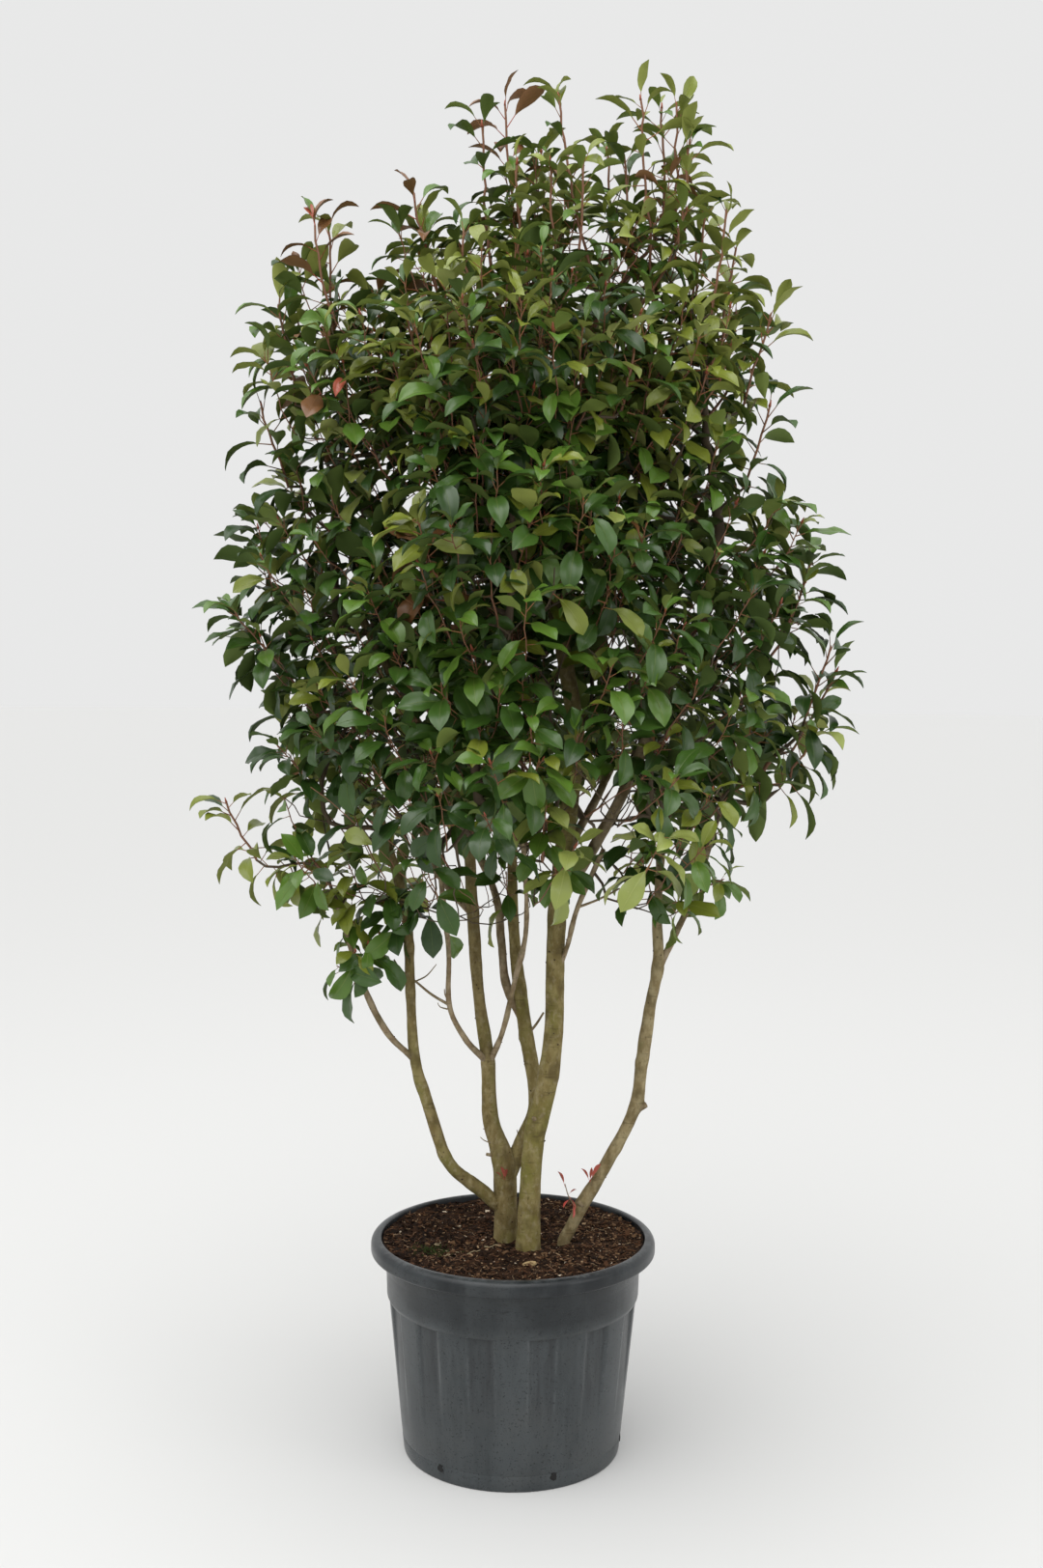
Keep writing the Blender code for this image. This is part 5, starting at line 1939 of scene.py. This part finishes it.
def deal_leaves(growth, shoots, masses):
    """Every leaf's place, turn, size, shape, tint and mass, shoot by shoot, and the buds."""
    leaves = {key: [] for key in ("place", "turn", "size", "look", "tint", "mass")}
    buds = []
    known = tinted_shoots(shoots, growth)
    for order, shoot in enumerate(shoots):
        path = growth.place[shoot["nodes"]]
        steps = np.linalg.norm(np.diff(path, axis=0), axis=1)
        from_tip = np.concatenate([[0.0], np.cumsum(steps[::-1])])
        back = path[::-1]

        def spot(distance):
            return np.array([np.interp(distance, from_tip, back[:, axis]) for axis in range(3)])

        height = path[-1][2]
        zone = crown_share(height)
        top, low, inner = spray_look(shoot, height)
        is_spire = shoot["kind"] == "spire"
        leafy = share_of(SPRAY_LENGTHS, zone) * RANDOM.uniform(0.85, 1.2)
        leafy = min(from_tip[-1] * 0.95, SPIRE_LEAFY if is_spire else leafy)
        leafy *= 1.0 - 0.35 * inner
        spacing = share_of(LEAF_SPACINGS, zone) * (SPIRE_SPACING if is_spire else 1.0)
        blade = share_of(BLADE_LENGTHS, zone) * (SPIRE_BLADE if is_spire else 1.0)
        crowding = SPIRE_CROWDING if is_spire else SHOOT_CROWDING
        tint = spray_tint(order, known, path[-1])
        # Sprays deep in the crown take only the darker tints: painted shade
        if inner > 0.5:
            tint = min(tint, TINT_NAMES.index("mid"))
        roll = RANDOM.uniform(0, math.tau)
        distance = FIRST_LEAF
        number = 0
        while distance < leafy:
            share = distance / leafy
            place = spot(distance)
            axis_way = unit(spot(max(distance - 0.01, 0.0)) - spot(distance + 0.01))
            roll += LEAF_TURN + RANDOM.normal(0, 0.15)
            way = leaf_way(axis_way, roll, share, top, low)
            sway = RANDOM.normal(0, LEAF_SWAY, 3)
            normal = unit(0.70 * axis_way + np.array([0.0, 0.0, 0.55]) + sway)
            young = max(0.0, 1.0 - number / 3.0) * (0.22 if is_spire else 0.42)
            size = blade * (1.0 - young) * RANDOM.uniform(0.78, 1.14)
            look = int(RANDOM.integers(0, ROUND_LOOKS))
            if RANDOM.uniform() < max(1.4 * top - 0.3, 1.0 * is_spire):
                look = int(RANDOM.integers(ROUND_LOOKS, len(LEAF_LOOKS)))
            middle = place + way * size * 0.70
            if not in_box(place + way * size * 1.15) or not keeps_windows_open(middle[None], 0.0)[0]:
                distance += spacing
                continue
            own = younger_tint(tint, height) if number < 2 else tint
            if RANDOM.uniform() < OTHER_TINT_SHARE:
                own = int(RANDOM.choice(len(TINT_NAMES), p=tint_shares(height)))
            add_leaf(leaves, place, leaf_turn(way, normal), size, look, own, shoot["mass"])
            distance += spacing * share_of(crowding, share) * RANDOM.uniform(0.8, 1.2)
            number += 1
        buds.append((path[-1], unit(path[-1] - path[-2]), inner))
    add_single_leaves(leaves, growth, masses)
    return {key: np.array(values) for key, values in leaves.items()}, buds


def leaf_pieces(leaves, names, finishes):
    """The leaves of each mass, as one joined piece for each."""
    patterns = [leaf_pattern(*look) for look in LEAF_LOOKS]
    for number, name in enumerate(names):
        own = leaves["mass"] == number
        mesh = dealt_mesh(f"leaves_{name}", patterns, leaves["look"][own], leaves["place"][own],
                          leaves["turn"][own], leaves["size"][own], leaves["tint"][own], 4)
        piece = add_piece(f"leaves_{name}", mesh, finishes)
        settle(piece, "foliage", name)


def make_buds(buds, finish):
    """The red buds at the shoots' tips."""
    bm = bmesh.new()
    bmesh.ops.create_cone(bm, cap_ends=True, segments=5, radius1=0.26, radius2=0.07, depth=1.0)
    bmesh.ops.translate(bm, verts=bm.verts, vec=(0.0, 0.0, 0.45))
    bmesh.ops.rotate(bm, verts=bm.verts, matrix=Matrix.Rotation(-math.pi / 2, 3, "X"))
    pattern = pattern_arrays(bm)
    shown = [bud for bud in buds if bud[2] < SHADED and RANDOM.uniform() < BUD_SHARE]
    places = [bud[0] for bud in shown]
    facing = unit(np.array([0.3, 0.9, 0.1]))
    turns = [leaf_turn(bud[1], facing) for bud in shown]
    sizes = RANDOM.uniform(0.008, 0.015, len(shown))
    add_copies("shoot_buds", pattern, places, turns, sizes, 0, 1, [finish], "foliage")


# Each bark: its two browns and its specks, its olive film, and how much film it has
BARK_LOOKS = {
    "tan": (((0.170, 0.127, 0.050), (0.255, 0.203, 0.094), (0.040, 0.026, 0.012)),
            (0.160, 0.150, 0.042), 0.10),
    "olive": (((0.180, 0.138, 0.052), (0.260, 0.212, 0.092), (0.036, 0.024, 0.011)),
              (0.160, 0.150, 0.034), 0.14),
    "pale": (((0.215, 0.164, 0.080), (0.325, 0.268, 0.150), (0.045, 0.029, 0.016)),
             (0.170, 0.152, 0.062), 0.04),
    "brown": (((0.220, 0.160, 0.094), (0.330, 0.266, 0.175), (0.045, 0.029, 0.016)),
              (0.140, 0.128, 0.050), 0.00),
}

# Dead twiglets and cut stubs: the points of each and its radii at foot and tip, in millimetres
TWIGLETS = metres([
    (((-40, 26, 668), (-66, 18, 676)), 1.6, 0.8),
    (((-36, 20, 640), (-62, 12, 652), (-71, 10, 660)), 1.8, 0.8),
    (((-40, 22, 617), (-58, 14, 622)), 4.2, 3.4),
    (((20, 40, 645), (10, 30, 660), (6, 26, 672)), 1.6, 0.8),
    (((-86, 40, 1262), (-112, 36, 1285), (-106, 34, 1300)), 4, 3),
    (((-34, 112, 1095), (-40, 120, 1132), (-50, 122, 1150)), 7, 2.8),
    (((-34, 112, 1105), (-22, 122, 1135), (-14, 124, 1152)), 6, 2.6),
    (((-137, -20, 948), (-175, -26, 972), (-208, -30, 1000), (-238, -34, 1024),
      (-252, -36, 1046)), 3.2, 1.6),
    (((-206, -30, 1000), (-184, -30, 1012), (-164, -32, 1036)), 1.8, 0.9),
    (((-141, -22, 940), (-156, -30, 946), (-161, -32, 955)), 1.8, 0.8),
    (((-139, -18, 956), (-146, -30, 972), (-147, -32, 984)), 2, 1),
    (((127, -70, 1163), (170, -82, 1182), (211, -95, 1206)), 3, 1.8),
    (((30, 66, 872), (46, 62, 893), (61, 60, 918)), 3.2, 2.2),
    (((262, -18, 733), (277, -21, 741)), 8.5, 6.2), (((146, -18, 523), (136, -22, 532)), 7, 5.8),
    (((44, -52, 716), (41, -58, 719)), 6.2, 5),
    (((130, -20, 520), (116, -26, 545), (108, -28, 572)), 1.4, 1),
    (((168, -18, 560), (160, -26, 580)), 1.2, 0.8),
])

# Young red leaves on the bare stems: the foot, the way it points and its length
RED_LEAVES = [
    ((-0.020, 0.002, 0.572), (-0.15, -0.30, 1.0), 0.030),
    ((-0.022, 0.002, 0.572), (0.30, -0.35, 1.0), 0.026),
    ((-0.018, 0.002, 0.570), (0.05, -0.60, 1.0), 0.032),
    ((-0.024, 0.002, 0.574), (-0.50, -0.35, 0.8), 0.020),
    ((0.108, -0.028, 0.566), (-0.30, -0.15, 1.0), 0.034),
    ((0.118, -0.026, 0.545), (0.25, -0.35, -0.3), 0.028),
    ((0.120, -0.026, 0.540), (-0.30, -0.45, -0.1), 0.026),
    ((0.124, -0.024, 0.530), (0.10, -0.50, -0.4), 0.028),
    ((0.116, -0.027, 0.550), (0.45, -0.25, 0.5), 0.020),
    ((0.160, -0.026, 0.576), (-0.42, -0.15, 1.0), 0.032),
    ((0.161, -0.026, 0.577), (0.42, -0.10, 1.0), 0.040),
    ((0.160, -0.027, 0.577), (0.10, -0.35, 1.0), 0.028),
    ((0.160, -0.026, 0.576), (0.15, 0.20, 1.0), 0.026),
]

# Dark leaf scars that catch the eye: the limb, the height, the turn round from the front in
# degrees, and the size
SCARS = [
    ("centre_stem", 0.893, 0.0, 0.0085), ("centre_stem", 0.770, 20.0, 0.0050),
    ("centre_stem", 0.700, -30.0, 0.0090), ("right_stem", 0.905, -50.0, 0.0055),
    ("right_stem", 0.830, -20.0, 0.0045), ("left_bough", 0.640, 10.0, 0.0050),
    ("left_stem", 0.800, -20.0, 0.0060), ("back_stem", 0.880, -10.0, 0.0065),
]


def make_bark_buds(finish):
    """The small dark buds and leaf scars along the bare stems."""
    bm = bmesh.new()
    bmesh.ops.create_cone(bm, cap_ends=True, segments=6, radius1=0.50, radius2=0.16, depth=1.0)
    bmesh.ops.rotate(bm, verts=bm.verts, matrix=Matrix.Rotation(-math.pi / 2, 3, "X"))
    pattern = pattern_arrays(bm)
    places, turns, sizes = [], [], []
    for name, limb in LIMBS.items():
        path = limb_path(name)
        for index in range(4, len(path) - 1):
            if RANDOM.uniform() > BARK_BUD_SHARE or path[index].z > BARK_BUD_TOP:
                continue
            radius = share_of(limb["radii"], index / (len(path) - 1))
            turn = RANDOM.uniform(0, math.tau)
            out = Vector((math.cos(turn), math.sin(turn), 0.0))
            along = (path[index + 1] - path[index - 1]).normalized()
            out = (out - along * out.dot(along)).normalized()
            places.append(path[index] + out * radius * 0.98)
            turns.append(leaf_turn(unit(np.array(out + along * 0.6)), np.array(along)))
            sizes.append(RANDOM.uniform(0.0022, 0.0030) + 0.16 * radius)
    for name, height, degrees, size in SCARS:
        path = limb_path(name)
        middle = at_height(path, height)
        out = outward(degrees)
        share = path.index(middle) / (len(path) - 1)
        places.append(middle + out * (share_of(LIMBS[name]["radii"], share) - 0.25 * size))
        turns.append(leaf_turn(unit(np.array(out)), np.array((0.0, 0.0, 1.0))))
        sizes.append(size)
    add_copies("bark_buds", pattern, places, turns, sizes, 0, 1, [finish], "stem_bark")


def make_twiglets(finish):
    """The dead twiglets and cut stubs on the bare stems."""
    paths, radii = [], []
    for points, foot, tip in TWIGLETS:
        path = np.array(smooth_path(points, 0.006))
        paths.append(np.concatenate([path, path[-1:] + (path[-1:] - path[-2:-1]) * 0.05]))
        radii.append(np.append(np.linspace(foot, tip, len(path)), 0.0001))
    verts, faces, owners = tube_arrays(paths, radii, 8)
    mesh = joined_mesh("stem_twiglets", verts, faces, np.zeros(len(faces), int))
    settle(add_piece("stem_twiglets", mesh, [finish]), "twig_bark")


def make_red_leaves(finishes):
    """The young red leaves at the foot of the bare stems."""
    pattern = leaf_pattern((0.5, 0.70, 0.05, 0.1), 0.115, 0.24)
    places, ways, sizes = zip(*RED_LEAVES)
    facing = unit(np.array([0.2, 0.6, 1.0]))
    turns = [leaf_turn(unit(np.array(way)), facing) for way in ways]
    red = TINT_NAMES.index("red")
    add_copies("young_red_leaves", pattern, places, turns, sizes, red, 4, finishes, "foliage")


# Stage


def make_stage():
    """A wide pale floor in even air, with no line where they meet."""
    finish = plain_finish("studio_floor", FLOOR_COLOUR, 0.85, 0.1)
    bm = bmesh.new()
    bmesh.ops.create_circle(bm, cap_ends=True, segments=96, radius=FLOOR_RADIUS)
    floor = mesh_object("studio_floor", bm, [finish])
    world = bpy.data.worlds.new("studio_air")
    bpy.context.scene.world = world
    world.use_nodes = True
    back = world.node_tree.nodes["Background"]
    back.inputs["Color"].default_value = AIR_COLOUR
    back.inputs["Strength"].default_value = 1.0


def add_area_light(name, place, aim, size, power):
    data = bpy.data.lights.new(name, "AREA")
    data.shape = "DISK"
    data.size = size
    data.energy = power
    light = bpy.data.objects.new(name, data)
    light.location = place
    light.rotation_euler = (Vector(aim) - Vector(place)).to_track_quat("-Z", "Y").to_euler()
    bpy.context.scene.collection.objects.link(light)


def make_lights():
    for light in AREA_LIGHTS:
        add_area_light(*light)
    data = bpy.data.lights.new("roof_light", "SUN")
    data.energy = ROOF_POWER
    data.angle = math.radians(ROOF_SPREAD)
    light = bpy.data.objects.new("roof_light", data)
    light.rotation_euler = [math.radians(angle) for angle in ROOF_TILT]
    bpy.context.scene.collection.objects.link(light)


def make_camera():
    data = bpy.data.cameras.new("camera")
    data.lens = CAMERA_LENS
    data.sensor_width = SENSOR_LONG_SIDE
    data.sensor_fit = "AUTO"
    data.clip_end = 200.0
    camera = bpy.data.objects.new("camera", data)
    tilt = Matrix.Rotation(math.radians(90.0 - CAMERA_DOWN), 4, "X")
    roll = Matrix.Rotation(math.radians(CAMERA_ROLL), 4, "Z")
    camera.matrix_world = Matrix.Translation(CAMERA_PLACE) @ tilt @ roll
    bpy.context.scene.collection.objects.link(camera)
    bpy.context.scene.camera = camera


def main():
    bpy.context.scene.view_settings.view_transform = "Standard"
    mottle = make_mottle_group()
    plastic = pot_finish("pot_plastic_grey", mottle)
    # The drain holes' dark discs: painted shade
    drain_hole_shade = plain_finish("drain_painted_shade", (0.008, 0.008, 0.008), 0.9)
    make_pot(plastic, drain_hole_shade)
    make_soil(soil_finish("compost_dark", mottle))
    make_chips()
    make_fibres()
    make_oval_chip([plain_finish("oval_chip_tan", (0.36, 0.26, 0.13), 0.85, 0.2),
                    plain_finish("oval_chip_brown", (0.17, 0.11, 0.05), 0.9, 0.2)])
    barks = {
        name: bark_finish(f"bark_{name}", mottle, *look) for name, look in BARK_LOOKS.items()
    }
    for name in LIMBS:
        make_limb(name, barks)
    names = sorted(mass_names())
    trees = mass_trees(names)
    growth, shoots = grow_crown(names, trees)
    radius = branch_radii(growth, shoots)
    middles = np.array([sum(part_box(name), Vector()) / 2 for name in names])
    old_twig = plain_finish("twig_grey_brown", (0.095, 0.070, 0.044), 0.8, 0.3)
    new_twig = plain_finish("twig_red_brown", (0.205, 0.098, 0.056), 0.6, 0.3)
    twig_pieces(growth, radius, names, [old_twig, new_twig])
    finishes = leaf_finishes()
    leaves, buds = deal_leaves(growth, shoots, middles)
    leaf_pieces(leaves, names, finishes)
    make_buds(buds, plain_finish("bud_red", (0.31, 0.075, 0.036), 0.5))
    make_bark_buds(plain_finish("bark_bud_brown", (0.060, 0.040, 0.022), 0.8, 0.2))
    make_twiglets(barks["brown"])
    make_red_leaves(finishes)
    make_stage()
    make_lights()
    make_camera()


main()
